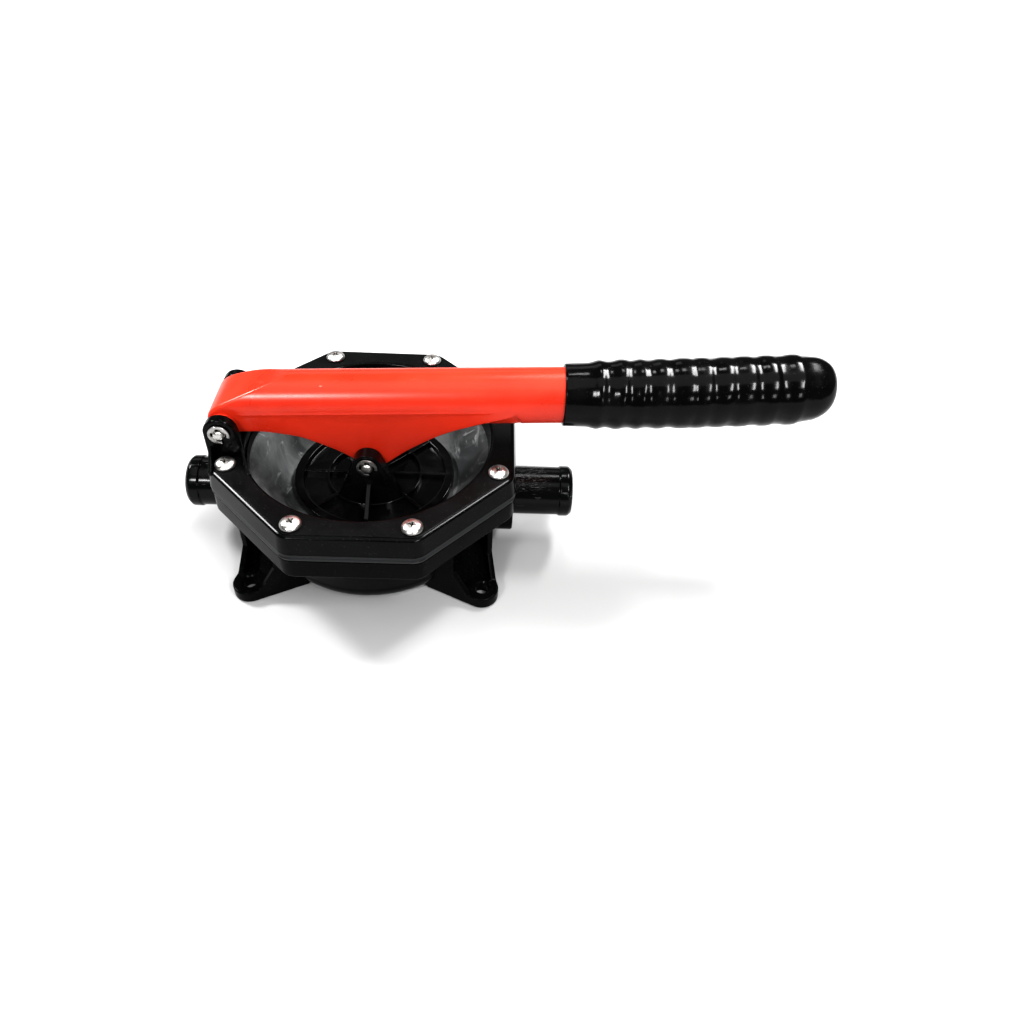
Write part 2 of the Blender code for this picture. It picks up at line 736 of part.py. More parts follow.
def grip_radius(x):
    """The sleeve's outer radius: swelling from its mouth, then ribbed, then rounded off at its end."""
    swell = 14.9 * MM + 1.4 * MM * math.sin(math.pi / 2 * min(1.0, (x - GRIP_START) / (60 * MM)))
    ribbed = GRIP_RING_START - GRIP_RING_PITCH / 2
    ring_end = ribbed + GRIP_RINGS * GRIP_RING_PITCH
    if ribbed < x < ring_end:
        swell += GRIP_RING_HEIGHT * math.sin(math.pi * (x - ribbed) / GRIP_RING_PITCH) ** 2
    left = max(0.0, GRIP_END - x)
    dome = 9.0 * MM
    if left < dome:
        swell -= 7.5 * MM * (1 - math.sqrt(1 - (1 - left / dome) ** 2)) + 0.8 * MM * (1 - left / dome)
    return swell


def grip(material, joint):
    ribbed = GRIP_RING_START - GRIP_RING_PITCH / 2
    stations = [GRIP_START]
    stations += [ribbed + GRIP_RING_PITCH * i / 2 for i in range(2 * GRIP_RINGS + 1)]
    stations += [GRIP_END - left * MM for left in (9, 5, 2, 0.7, 0)]
    sleeve = stacked("grip", [lever_circle(x, grip_radius(x)) for x in stations])
    bore_ends = [x * MM for x in (GRIP_START / MM - 5, 110, 130, 150, 170, 190)]
    bore_ends.append(LEVER_END + GAP)
    bore = stacked("grip_bore", [lever_circle(x, LEVER_RADIUS + GAP) for x in bore_ends])
    combine(sleeve, "DIFFERENCE", bore)
    return finish(sleeve, material, joint)


# Hose tails and flap valves.


def hose_tail(name, side, start, end, counterbore, material):
    """A tube with a rounded bead at its mouth. A counterbore makes room for a flap inside it."""
    bead = end - 7.0 * MM
    profile = [
        (TAIL_RADIUS, start),
        (TAIL_RADIUS, bead),
        (TAIL_BEAD, bead + 0.6 * MM),
        (TAIL_BEAD, end - 2.0 * MM),
        (TAIL_BEAD - 1.6 * MM, end),
        (TAIL_BORE, end),
    ]
    if counterbore:
        profile += [(TAIL_BORE, start + 16 * MM), (counterbore, start + 14.5 * MM)]
        profile += [(counterbore, start)]
    else:
        profile += [(TAIL_BORE, start)]
    profile = [(radius, side * along) for radius, along in profile]
    return finish(turned(name, profile, (0, 0, PORT_Z), "X", 40, ring=True), material)


def flap(name, x, material, joint):
    """A rubber disc, cut flat just above the line that it swings about."""
    drop = FLAP_TOP_Z - PORT_Z
    half = math.degrees(math.acos(drop / FLAP_RADIUS))
    outline = arc((0, PORT_Z), FLAP_RADIUS, 90 + half, 450 - half, 28)
    loops = [[(x + shift, y, z) for y, z in outline] for shift in (-FLAP_THICK / 2, FLAP_THICK / 2)]
    return finish(stacked(name, loops), material, joint)


def main():
    clear_scene()
    housing = make_material("housing_plastic", (0.012, 0.013, 0.014), 0.38)
    plate_plastic = make_material("plate_plastic", (0.008, 0.008, 0.009), 0.22)
    red = make_material("red_plastic", (0.80, 0.045, 0.018), 0.30)
    vinyl = make_material("grip_vinyl", (0.006, 0.006, 0.006), 0.16)
    rubber = make_material("diaphragm_rubber", (0.075, 0.078, 0.080), 0.55)
    steel = make_material("stainless_steel", (0.62, 0.61, 0.58), 0.25, 1.0)

    lever_joint = make_joint("lever_hinge", HINGE)
    plate_joint = make_joint("plate_slide", Vector((CLEVIS.x, 0, PLATE_LOW)))
    inlet_x = -INLET_START + GAP + 0.2 * MM + FLAP_THICK / 2
    outlet_x = POCKET_X + GAP + FLAP_THICK / 2
    inlet_joint = make_joint("inlet_flap_hinge", Vector((inlet_x, 0, FLAP_HINGE_Z)))
    outlet_joint = make_joint("outlet_flap_hinge", Vector((outlet_x, 0, FLAP_HINGE_Z)))

    pump_body(housing)
    clamp_ring(housing)
    ring_screws(steel)
    diaphragm(rubber)
    diaphragm_plate(plate_plastic, plate_joint)
    clamp_plate(plate_plastic, plate_joint)
    plate_screw(steel, plate_joint)
    pin("hinge_pin", HINGE, steel)
    clip("hinge_clip_front", HINGE, -1, steel)
    clip("hinge_clip_rear", HINGE, 1, steel)
    pin("clevis_pin", CLEVIS, steel, plate_joint)
    clip("clevis_clip_front", CLEVIS, -1, steel, plate_joint)
    clip("clevis_clip_rear", CLEVIS, 1, steel, plate_joint)
    handle(red, lever_joint)
    grip(vinyl, lever_joint)
    hose_tail("inlet_port", -1, INLET_START, INLET_END, None, housing)
    hose_tail("outlet_port", 1, OUTLET_START, OUTLET_END, OUTLET_COUNTERBORE, housing)
    flap("inlet_flap", inlet_x, rubber, inlet_joint)
    flap("outlet_flap", outlet_x, rubber, outlet_joint)


main()
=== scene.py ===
"""The looks of the manual bilge pump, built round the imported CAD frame. Lengths are in metres."""

import math
import bmesh
import bpy
from mathutils import Matrix, Vector, noise


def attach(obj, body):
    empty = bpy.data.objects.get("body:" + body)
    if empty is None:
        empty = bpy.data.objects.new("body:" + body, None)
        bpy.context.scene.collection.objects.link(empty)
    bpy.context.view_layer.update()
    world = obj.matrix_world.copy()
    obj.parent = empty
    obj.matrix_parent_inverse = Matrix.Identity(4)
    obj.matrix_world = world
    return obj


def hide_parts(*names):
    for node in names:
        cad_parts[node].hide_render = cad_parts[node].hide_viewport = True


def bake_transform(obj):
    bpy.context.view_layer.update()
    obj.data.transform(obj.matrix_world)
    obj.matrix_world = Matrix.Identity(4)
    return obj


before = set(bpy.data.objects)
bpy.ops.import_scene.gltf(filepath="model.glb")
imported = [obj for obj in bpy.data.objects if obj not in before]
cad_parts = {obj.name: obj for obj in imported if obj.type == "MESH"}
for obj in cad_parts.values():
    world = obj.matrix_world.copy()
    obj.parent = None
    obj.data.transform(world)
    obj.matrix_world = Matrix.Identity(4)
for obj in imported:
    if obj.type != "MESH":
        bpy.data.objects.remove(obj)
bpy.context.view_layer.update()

MM = 0.001

# Sizes shared with the CAD model.
FLANGE_LOW = 40.0 * MM
RUBBER_TOP, RING_TOP = 55.2 * MM, 65.6 * MM
RING_HALF, RING_SKIRT_HALF = 72.6 * MM, 73.7 * MM
RING_OPENING = 60.7 * MM
CORNER_RADIUS = 9.0 * MM
SCREW_CIRCLE = 70.0 * MM
FOOT_HOLE = (58.3, -48.1)  # millimetres, in the front right foot
PORT_Z = 30.0 * MM
PIN_BORE = 3.0 * MM
HINGE = Vector((-66.5, 0, 79.6)) * MM
CLEVIS = Vector((1.0, 0, 61.7)) * MM
LEVER_RADIUS, LEVER_WALL = 13.5 * MM, 3.2 * MM
GRIP_START, GRIP_END = 94.6 * MM, 222.0 * MM

TURNS = {
    "X": Matrix.Rotation(math.radians(90), 4, "Y"),
    "Y": Matrix.Rotation(math.radians(-90), 4, "X"),
    "Z": Matrix.Identity(4),
}


# Meshes.


def scaled(points):
    return [tuple(value * MM for value in point) for point in points]


def arc(centre, radius, start, end, steps):
    angles = [math.radians(start + (end - start) * i / steps) for i in range(steps + 1)]
    return [
        (centre[0] + radius * math.cos(angle), centre[1] + radius * math.sin(angle))
        for angle in angles
    ]


def smooth(points, steps=6):
    """A curve through the points."""
    ends = [points[0], *points, points[-1]]
    curve = []
    for before, start, end, after in zip(ends, ends[1:], ends[2:], ends[3:]):
        for i in range(steps):
            t = i / steps
            curve.append(
                tuple(
                    0.5
                    * (
                        2 * b
                        + (c - a) * t
                        + (2 * a - 5 * b + 4 * c - d) * t**2
                        + (3 * b - a - 3 * c + d) * t**3
                    )
                    for a, b, c, d in zip(before, start, end, after)
                )
            )
    return [*curve, tuple(points[-1])]


def rounded(points, radius, steps=4):
    """An open profile with its inner corners rounded."""
    result = [Vector(points[0])]
    for before, corner, after in zip(points, points[1:], points[2:]):
        corner = Vector(corner)
        back, on = Vector(before) - corner, Vector(after) - corner
        reach = min(radius, back.length * 0.45, on.length * 0.45)
        start, end = corner + back.normalized() * reach, corner + on.normalized() * reach
        for i in range(steps + 1):
            t = i / steps
            result.append(start * (1 - t) ** 2 + corner * 2 * t * (1 - t) + end * t**2)
    result.append(Vector(points[-1]))
    return [tuple(point) for point in result]


def make_object(name, work, sharp=35):
    bmesh.ops.remove_doubles(work, verts=work.verts, dist=0.001 * MM)
    bmesh.ops.recalc_face_normals(work, faces=work.faces)
    mesh = bpy.data.meshes.new(name)
    work.to_mesh(mesh)
    work.free()
    mesh.shade_smooth()
    mesh.set_sharp_from_angle(angle=math.radians(sharp))
    obj = bpy.data.objects.new(name, mesh)
    bpy.context.scene.collection.objects.link(obj)
    return obj


def stacked(name, loops, ring=False, sharp=35):
    """A closed skin through loops of matching points. A ring joins its last loop to its first."""
    work = bmesh.new()
    rows = [[work.verts.new(point) for point in loop] for loop in loops]
    pairs = list(zip(rows, rows[1:]))
    if ring:
        pairs.append((rows[-1], rows[0]))
    for low, high in pairs:
        for i, corner in enumerate(low):
            work.faces.new((low[i - 1], corner, high[i], high[i - 1]))
    if not ring:
        work.faces.new(rows[0])
        work.faces.new(rows[-1])
    return make_object(name, work, sharp)


def turned(name, profile, centre=(0, 0, 0), axis="Z", steps=96, ring=False, sharp=35):
    work = bmesh.new()
    corners = [work.verts.new((radius, 0, height)) for radius, height in profile]
    edges = [work.edges.new(pair) for pair in zip(corners, corners[1:])]
    if ring:
        edges.append(work.edges.new((corners[-1], corners[0])))
    bmesh.ops.spin(
        work, geom=corners + edges, axis=(0, 0, 1), angle=math.tau, steps=steps, use_merge=True
    )
    bmesh.ops.remove_doubles(work, verts=work.verts, dist=0.001 * MM)
    work.transform(Matrix.Translation(centre) @ TURNS[axis])
    return make_object(name, work, sharp)


def cylinder(name, radius, low, high, centre=(0, 0, 0), axis="Z", steps=64):
    return turned(name, [(0, low), (radius, low), (radius, high), (0, high)], centre, axis, steps)


def hulled(name, points):
    work = bmesh.new()
    for point in points:
        work.verts.new(point)
    found = bmesh.ops.convex_hull(work, input=work.verts)
    inside = [item for item in found["geom_interior"] if isinstance(item, bmesh.types.BMVert)]
    bmesh.ops.delete(work, geom=inside, context="VERTS")
    bmesh.ops.dissolve_limit(work, angle_limit=math.radians(1), verts=work.verts, edges=work.edges)
    return make_object(name, work)


def along_y(outline, low, high):
    return [[(x, y, z) for x, z in outline] for y in (low, high)]


def bake(obj, sharp=35):
    """Applies the object's modifiers to its mesh."""
    graph = bpy.context.evaluated_depsgraph_get()
    mesh = bpy.data.meshes.new_from_object(obj.evaluated_get(graph))
    obj.modifiers.clear()
    obj.data = mesh
    mesh.shade_smooth()
    mesh.set_sharp_from_angle(angle=math.radians(sharp))
    return obj


def combine(obj, operation, *tools, sharp=35):
    for tool in tools:
        modifier = obj.modifiers.new(tool.name, "BOOLEAN")
        modifier.operation = operation
        modifier.solver = "EXACT"
        modifier.object = tool
    bake(obj, sharp)
    for tool in tools:
        bpy.data.objects.remove(tool)
    return obj


def bevelled(obj, width, segments=3, angle=30):
    modifier = obj.modifiers.new("bevel", "BEVEL")
    modifier.width = width
    modifier.segments = segments
    modifier.limit_method = "ANGLE"
    modifier.angle_limit = math.radians(angle)
    modifier.miter_outer = "MITER_ARC"
    return bake(obj, 60)


def settle(obj):
    """Keeps large flat faces flat in the shading, next to their rounded edges."""
    modifier = obj.modifiers.new("weighted", "WEIGHTED_NORMAL")
    modifier.keep_sharp = True
    return obj


# Materials.


class Shader:
    """A Principled material and the few kinds of node that these surfaces use."""

    def __init__(self, name, colour, roughness, **settings):
        self.material = bpy.data.materials.new(name)
        self.material.use_nodes = True
        self.tree = self.material.node_tree
        self.main = self.tree.nodes["Principled BSDF"]
        self.main.inputs["Base Color"].default_value = (*colour, 1)
        self.main.inputs["Roughness"].default_value = roughness
        for socket, value in settings.items():
            self.main.inputs[socket.replace("_", " ")].default_value = value
        self.place = self.tree.nodes.new("ShaderNodeTexCoord").outputs["Object"]
        self.height = None

    def link(self, source, target):
        if hasattr(source, "is_output"):
            self.tree.links.new(source, target)
        else:
            target.default_value = source

    def stretch(self, scale, place=None, turn=(0, 0, 0)):
        node = self.tree.nodes.new("ShaderNodeMapping")
        self.link(place or self.place, node.inputs["Vector"])
        node.inputs["Scale"].default_value = scale
        node.inputs["Rotation"].default_value = [math.radians(value) for value in turn]
        return node.outputs[0]

    def noise(self, scale, detail=3, rough=0.55, place=None, distortion=0.0):
        node = self.tree.nodes.new("ShaderNodeTexNoise")
        self.link(place or self.place, node.inputs["Vector"])
        node.inputs["Scale"].default_value = scale
        node.inputs["Detail"].default_value = detail
        node.inputs["Roughness"].default_value = rough
        node.inputs["Distortion"].default_value = distortion
        return node.outputs["Fac"]

    def ramp(self, value, low, high, to_low=0.0, to_high=1.0):
        node = self.tree.nodes.new("ShaderNodeMapRange")
        node.interpolation_type = "SMOOTHSTEP"
        for socket, number in zip(node.inputs[:5], (value, low, high, to_low, to_high)):
            self.link(number, socket)
        return node.outputs[0]

    def maths(self, operation, a, b=0.0):
        node = self.tree.nodes.new("ShaderNodeMath")
        node.operation = operation
        self.link(a, node.inputs[0])
        self.link(b, node.inputs[1])
        return node.outputs[0]

    def mix(self, factor, a, b):
        node = self.tree.nodes.new("ShaderNodeMix")
        node.data_type = "RGBA"
        self.link(factor, node.inputs["Factor"])
        for value, socket in ((a, node.inputs[6]), (b, node.inputs[7])):
            self.link((*value, 1) if isinstance(value, tuple) else value, socket)
        return node.outputs[2]

    def reach(self):
        """The distance from the pump's upright axis."""
        parts = self.tree.nodes.new("ShaderNodeSeparateXYZ")
        self.link(self.place, parts.inputs[0])
        squares = [self.maths("MULTIPLY", parts.outputs[i], parts.outputs[i]) for i in (0, 1)]
        return self.maths("SQRT", self.maths("ADD", *squares))

    def along(self, axis):
        """The position along one axis."""
        parts = self.tree.nodes.new("ShaderNodeSeparateXYZ")
        self.link(self.place, parts.inputs[0])
        return parts.outputs["XYZ".index(axis)]

    def colour(self, value):
        self.link(value, self.main.inputs["Base Color"])

    def roughness(self, value):
        self.link(value, self.main.inputs["Roughness"])

    def bump(self, value, distance, strength=1.0):
        node = self.tree.nodes.new("ShaderNodeBump")
        node.inputs["Distance"].default_value = distance
        node.inputs["Strength"].default_value = strength
        self.link(value, node.inputs["Height"])
        if self.height:
            self.link(self.height, node.inputs["Normal"])
        self.height = node.outputs[0]
        self.link(self.height, self.main.inputs["Normal"])


def housing_material(name, shine, low, high):
    """Black moulded plastic, with a fine grain, specks of dust and a few pale scuffs.

    Full roughness and grain are only at the height of the clamp ring's flat top. Its rounded edges
    and everything else are smoother, so an edge shows a bright line.
    """
    s = Shader(name, (0.004, 0.004, 0.0045), low, Specular_IOR_Level=shine)
    cloud = s.noise(55, 4)
    grain = s.noise(2300, 2)
    tone = s.mix(s.ramp(cloud, 0.35, 0.7), (0.0009, 0.0010, 0.0011), (0.0026, 0.0028, 0.0030))
    specks = s.ramp(s.noise(1900, 0), 0.77, 0.80)
    strokes = s.stretch((1.0, 0.16, 1.0), turn=(0, 0, 24))
    scuffs = s.ramp(s.noise(420, 3, place=strokes), 0.72, 0.80)
    scuffs = s.maths("MULTIPLY", scuffs, s.ramp(s.noise(38, 2), 0.56, 0.66))
    marks = s.maths("MAXIMUM", s.maths("MULTIPLY", specks, 0.25), s.maths("MULTIPLY", scuffs, 0.4))
    s.colour(s.mix(marks, tone, (0.11, 0.11, 0.11)))
    worn = s.ramp(cloud, 0.3, 0.7, low, high)
    worn = s.maths("ADD", worn, s.ramp(grain, 0.3, 0.7, -0.03, 0.05))
    above = s.maths("ABSOLUTE", s.maths("SUBTRACT", s.along("Z"), RING_TOP))
    flat = s.ramp(above, 0.01 * MM, 0.09 * MM, 1.0, 0.36)
    s.roughness(s.maths("MULTIPLY", worn, flat))
    s.bump(s.maths("MULTIPLY", grain, s.ramp(flat, 0.4, 1.0, 0.12, 1.0)), 0.03 * MM, 0.9)
    s.bump(s.noise(260, 3), 0.03 * MM, 0.3)
    return s.material


def plate_material():
    """Glossier black plastic, slightly wavy, with smudges."""
    s = Shader("plate_plastic_gloss", (0.004, 0.004, 0.004), 0.2, Specular_IOR_Level=0.22)
    smudge = s.noise(70, 4, 0.6, distortion=0.6)
    s.colour(s.mix(s.ramp(smudge, 0.45, 0.75), (0.0022, 0.0023, 0.0025), (0.0060, 0.0063, 0.0068)))
    s.roughness(s.ramp(smudge, 0.35, 0.75, 0.10, 0.26))
    s.bump(s.noise(180, 2), 0.12 * MM, 0.5)
    s.bump(s.noise(2200, 1), 0.01 * MM, 0.5)
    return s.material


def port_material():
    """Glossy black plastic with handling scratches, and a pale band on top of the outlet's tail that
    is partly scraped and partly a painted highlight.
    """
    s = Shader("hose_tail_plastic", (0.004, 0.004, 0.004), 0.18, Specular_IOR_Level=0.18)
    fine = s.noise(900, 3, place=s.stretch((0.15, 1.0, 1.0), turn=(0, 0, 20)))
    lines = s.ramp(fine, 0.60, 0.72)
    where = s.ramp(s.noise(60, 3), 0.48, 0.62)
    strokes = s.stretch((0.25, 1.0, 1.0), turn=(0, 0, 28))
    crossed = s.noise(1700, 4, 0.7, place=strokes, distortion=0.5)
    before_bead = s.ramp(s.along("X"), 97 * MM, 82 * MM)
    # Painted highlight: the pale scraped marks are kept to the top of the outlet's tail, where a
    # light's reflection lies along it.
    painted_highlight_top = s.ramp(s.along("Z"), 37 * MM, 40.5 * MM)
    outlet_side = s.ramp(s.along("X"), 0, 10 * MM)
    scraped_and_painted_highlight = s.maths("MULTIPLY", s.ramp(crossed, 0.50, 0.68), before_bead)
    scraped_and_painted_highlight = s.maths("MULTIPLY", scraped_and_painted_highlight, painted_highlight_top)
    scraped_and_painted_highlight = s.maths("MULTIPLY", scraped_and_painted_highlight, outlet_side)
    marks = s.maths("MAXIMUM", s.maths("MULTIPLY", lines, where), scraped_and_painted_highlight)
    # The pale marks are scratches, and on top of the outlet's tail also a painted highlight.
    s.colour(s.mix(s.maths("MULTIPLY", marks, 0.45), (0.0022, 0.0024, 0.0027), (0.20, 0.20, 0.20)))
    s.roughness(s.ramp(marks, 0.0, 1.0, 0.16, 0.5))
    s.bump(marks, -0.04 * MM, 0.6)
    s.bump(s.noise(150, 2), 0.08 * MM, 0.4)
    return s.material


def red_material():
    """Semi-gloss orange-red plastic, with slight clouding, small scuffs and rubbed marks."""
    s = Shader("red_plastic_semigloss", (0.80, 0.032, 0.013), 0.30, Specular_IOR_Level=0.45)
    cloud = s.noise(26, 4, 0.55, distortion=0.4)
    tone = s.mix(s.ramp(cloud, 0.3, 0.72), (0.53, 0.029, 0.009), (0.62, 0.038, 0.012))
    strokes = s.stretch((0.35, 1.0, 1.0), turn=(0, 14, 31))
    nicks = s.ramp(s.noise(520, 2, place=strokes), 0.745, 0.79)
    nicks = s.maths("MULTIPLY", nicks, s.ramp(s.noise(45, 2), 0.53, 0.60))
    rub = s.ramp(s.noise(150, 5, 0.7, place=s.stretch((0.3, 1.0, 1.0))), 0.60, 0.80, 0.0, 0.10)
    marks = s.maths("ADD", s.maths("MULTIPLY", nicks, 0.55), rub)
    s.colour(s.mix(marks, tone, (0.95, 0.42, 0.34)))
    s.roughness(s.maths("ADD", s.ramp(cloud, 0.3, 0.7, 0.26, 0.33), s.maths("MULTIPLY", nicks, 0.3)))
    s.bump(s.noise(330, 3), 0.03 * MM, 0.5)
    s.bump(s.noise(2400, 1), 0.008 * MM, 0.5)
    return s.material


def vinyl_material():
    """Glossy black dipped vinyl with a wet, slightly uneven skin."""
    s = Shader("grip_vinyl_gloss", (0.0025, 0.0025, 0.003), 0.1, Specular_IOR_Level=0.17)
    film = s.noise(95, 3, 0.5)
    s.colour(s.mix(s.ramp(film, 0.4, 0.75), (0.0014, 0.0014, 0.0016), (0.0034, 0.0034, 0.0038)))
    dust = s.ramp(s.noise(1300, 0), 0.76, 0.79)
    s.roughness(s.maths("ADD", s.ramp(film, 0.35, 0.75, 0.13, 0.19), s.maths("MULTIPLY", dust, 0.3)))
    s.bump(s.noise(140, 2), 0.18 * MM, 0.22)
    s.bump(s.noise(700, 2), 0.015 * MM, 0.4)
    return s.material


def rubber_material():
    """Grey rubber, clouded with talc and smeared by fingers."""
    s = Shader("diaphragm_rubber_talc", (0.06, 0.06, 0.06), 0.55, Specular_IOR_Level=0.3)
    cloud = s.noise(30, 5, 0.6, distortion=1.2)
    one_way = s.stretch((1.0, 0.22, 0.5), turn=(0, 0, 35))
    other_way = s.stretch((0.2, 1.0, 0.5), turn=(0, 0, -25))
    smear = s.noise(300, 4, 0.6, place=one_way, distortion=0.8)
    other = s.noise(260, 4, 0.6, place=other_way, distortion=0.8)
    streaks = s.maths("MAXIMUM", s.ramp(smear, 0.56, 0.72), s.ramp(other, 0.58, 0.74))
    streaks = s.maths("MULTIPLY", streaks, s.ramp(s.noise(48, 3), 0.42, 0.60))
    base = s.mix(s.ramp(cloud, 0.34, 0.68), (0.034, 0.036, 0.037), (0.180, 0.187, 0.187))
    face = s.mix(s.maths("MULTIPLY", streaks, 0.75), base, (0.43, 0.44, 0.44))
    rim = s.ramp(s.reach(), 65.5 * MM, 66.5 * MM)
    s.colour(s.mix(rim, face, (0.016, 0.017, 0.018)))
    s.roughness(s.mix(rim, s.ramp(cloud, 0.3, 0.7, 0.45, 0.70), (0.3, 0.3, 0.3)))
    s.bump(s.noise(800, 3), 0.03 * MM, 0.5)
    return s.material


def steel_material(name, dark, pale, low):
    """Stainless steel with fine scratches, and painted shade in dark brown in its recesses, where
    little light gets in.
    """
    s = Shader(name, pale, low, Metallic=1.0)
    lines = s.noise(2600, 3, place=s.stretch((1.0, 0.12, 1.0), turn=(0, 0, 40)))
    cloud = s.noise(240, 3)
    # Painted shade: an ambient occlusion node darkens the colour to dark brown in recesses, such as a
    # screw's cross.
    shade = s.tree.nodes.new("ShaderNodeAmbientOcclusion")
    shade.inputs["Distance"].default_value = 1.6 * MM
    tone = s.mix(s.ramp(cloud, 0.35, 0.7), dark, pale)
    s.colour(s.mix(s.ramp(shade.outputs["AO"], 0.30, 0.72), (0.045, 0.036, 0.028), tone))
    scratched = s.ramp(lines, 0.4, 0.7, 0.0, 0.08)
    s.roughness(s.maths("ADD", s.ramp(cloud, 0.3, 0.7, low, low + 0.12), scratched))
    s.bump(lines, 0.006 * MM, 0.6)
    return s.material


HOUSING = housing_material("housing_plastic_satin", 0.11, 0.34, 0.46)
BODY = housing_material("housing_plastic_matt", 0.05, 0.44, 0.60)
PLATE = plate_material()
PORT = port_material()
RED = red_material()
VINYL = vinyl_material()
RUBBER = rubber_material()
STEEL = steel_material("stainless_steel_bright", (0.50, 0.49, 0.47), (0.68, 0.67, 0.65), 0.26)
SPRING = steel_material("spring_steel_dull", (0.30, 0.295, 0.285), (0.48, 0.47, 0.46), 0.22)


def place(obj, material, slot, body, *nodes):
    """Gives a finished piece its material and its body, and hides the CAD nodes it stands for. The
    slot is not used.
    """
    obj.data.materials.clear()
    obj.data.materials.append(material)
    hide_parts(*nodes)
    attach(obj, body)
    return obj


# Shared outlines.


def octagon(half, height, corner=CORNER_RADIUS, flat_points=10, corner_points=10):
    """An octagon with rounded corners, its points evenly spread, its flats facing X and Y."""
    reach = (half - corner) / math.cos(math.radians(22.5))
    corners = []
    for turn in range(8):
        middle = math.radians(22.5 + 45 * turn)
        centre = (reach * math.cos(middle), reach * math.sin(middle))
        corners.append(arc(centre, corner, 45 * turn, 45 * turn + 45, corner_points))
    points = []
    for this, following in zip(corners, corners[1:] + corners[:1]):
        points += this
        start, end = Vector(this[-1]), Vector(following[0])
        points += [tuple(start.lerp(end, i / flat_points)) for i in range(1, flat_points)]
    return [(x, y, height) for x, y in points]


def circle_inside(radius, height):
    """A circle with one point towards each point of the octagon."""
    points = []
    for x, y, _ in octagon(RING_HALF, 0):
        reach = math.hypot(x, y)
        points.append((x / reach * radius, y / reach * radius, height))
    return points


def screw_places():
    for turn in range(8):
        angle = math.radians(22.5 + 45 * turn)
        yield SCREW_CIRCLE * math.cos(angle), SCREW_CIRCLE * math.sin(angle)


def pin_bore(middle):
    """A cutter for the bore of a pin."""
    return cylinder("pin_bore", PIN_BORE, -30 * MM, 30 * MM, middle, "Y", 48)


def lever_axis(x):
    """The height of the lever's middle line: a slight slope, with a slight curve up past 110 mm."""
    return 88.6 * MM + 0.052 * x + 0.245 * max(0.0, x - 110 * MM) ** 2


# The clamp ring.


def ear(side):
    """An upright ear for the hinge pin, wider at its foot."""
    x, z = HINGE.x, HINGE.z
    half = 7.7 * MM
    outline = [(x - half, RING_TOP - 3 * MM), (x + 10.2 * MM, RING_TOP - 3 * MM)]
    outline += [(x + 9.4 * MM, RING_TOP + 3 * MM)]
    outline += arc((x, z), half, 18, 180, 28)
    piece = stacked("ear", along_y(outline, side * 15.6 * MM, side * 21.0 * MM))
    return bevelled(piece, 0.9 * MM, 4, 40)


def fin(root, tip, thick, side):
    """A low brace between an ear and the ring's top, with a thin rounded edge."""
    low = RING_TOP - 2 * MM
    loops = []
    for (x, y), top in ((root, RING_TOP + 6.2 * MM), (tip, RING_TOP + 0.4 * MM)):
        half = thick / 2
        y *= side
        loops.append([(x - half, y, low), (x + half, y, low), (x + half, y, top), (x - half, y, top)])
    return bevelled(stacked("fin", loops), 0.5 * MM, 3)


def crown():
    """The ring's rounded upper edge, from its side to its top: tight at first, then slower."""
    tight, slow = 1.3 * MM, 4.2 * MM
    half, height = RING_HALF - 0.05 * MM, RING_TOP - 1.55 * MM
    points = [(half, height)]
    for tilt in range(87, 0, -5):
        run = 5 * math.pi / 180 * (tight if tilt > 30 else slow)
        half -= run * math.cos(math.radians(tilt))
        height += run * math.sin(math.radians(tilt))
        points.append((half, height))
    rise = (RING_TOP - points[0][1]) / (points[-1][1] - points[0][1])
    return [(across, points[0][1] + (up - points[0][1]) * rise) for across, up in points]


def fin_trim():
    """What is cut off where the fins and ears would reach into the ring's opening."""
    trim = cylinder("trim", RING_OPENING + 0.05 * MM, 57 * MM, 80 * MM, steps=192)
    left, right, low, high = -60.5 * MM, -40 * MM, 60 * MM, 75 * MM
    outline = [(left, low), (right, low), (right, high), (left, high)]
    return combine(trim, "INTERSECT", stacked("wedge", along_y(outline, -40 * MM, 40 * MM)))


def clamp_ring():
    rows = [octagon(RING_SKIRT_HALF - 0.3 * MM, RUBBER_TOP + 0.3 * MM)]
    rows += [octagon(RING_SKIRT_HALF, RUBBER_TOP + 0.7 * MM)]
    rows += [octagon(RING_SKIRT_HALF - 0.3 * MM, RUBBER_TOP + 3.0 * MM)]
    rows += [octagon(half, height) for half, height in crown()]
    rows += [circle_inside(63.6 * MM, RING_TOP), circle_inside(62.3 * MM, RING_TOP)]
    inner_round = 1.6 * MM
    for angle in range(15, 91, 15):
        turn = math.radians(angle)
        radius = RING_OPENING + inner_round * (1 - math.sin(turn))
        rows.append(circle_inside(radius, RING_TOP - inner_round * (1 - math.cos(turn))))
    rows += [circle_inside(59.6 * MM, RUBBER_TOP + 1.2 * MM)]
    rows += [circle_inside(59.9 * MM, RUBBER_TOP + 0.3 * MM)]
    ring = stacked("clamp_ring_moulding", rows, ring=True)
    parts = []
    for side in (-1, 1):
        parts.append(ear(side))
        parts.append(fin((-72.6 * MM, 20 * MM), (-70.4 * MM, 33 * MM), 1.7 * MM, side))
        parts.append(fin((-57.6 * MM, 20 * MM), (-52.2 * MM, 33.5 * MM), 2.4 * MM, side))
    combine(ring, "UNION", *parts)
    combine(ring, "DIFFERENCE", pin_bore(HINGE), fin_trim())
    place(settle(ring), HOUSING, "housing_plastic", "housing", "clamp_ring")


# The pump body.


def foot_point(x, y, z, side_x, side_y):
    """A point of the front right foot, moved to the foot on the given sides."""
    return (side_x * x * MM, -side_y * y * MM, z * MM)


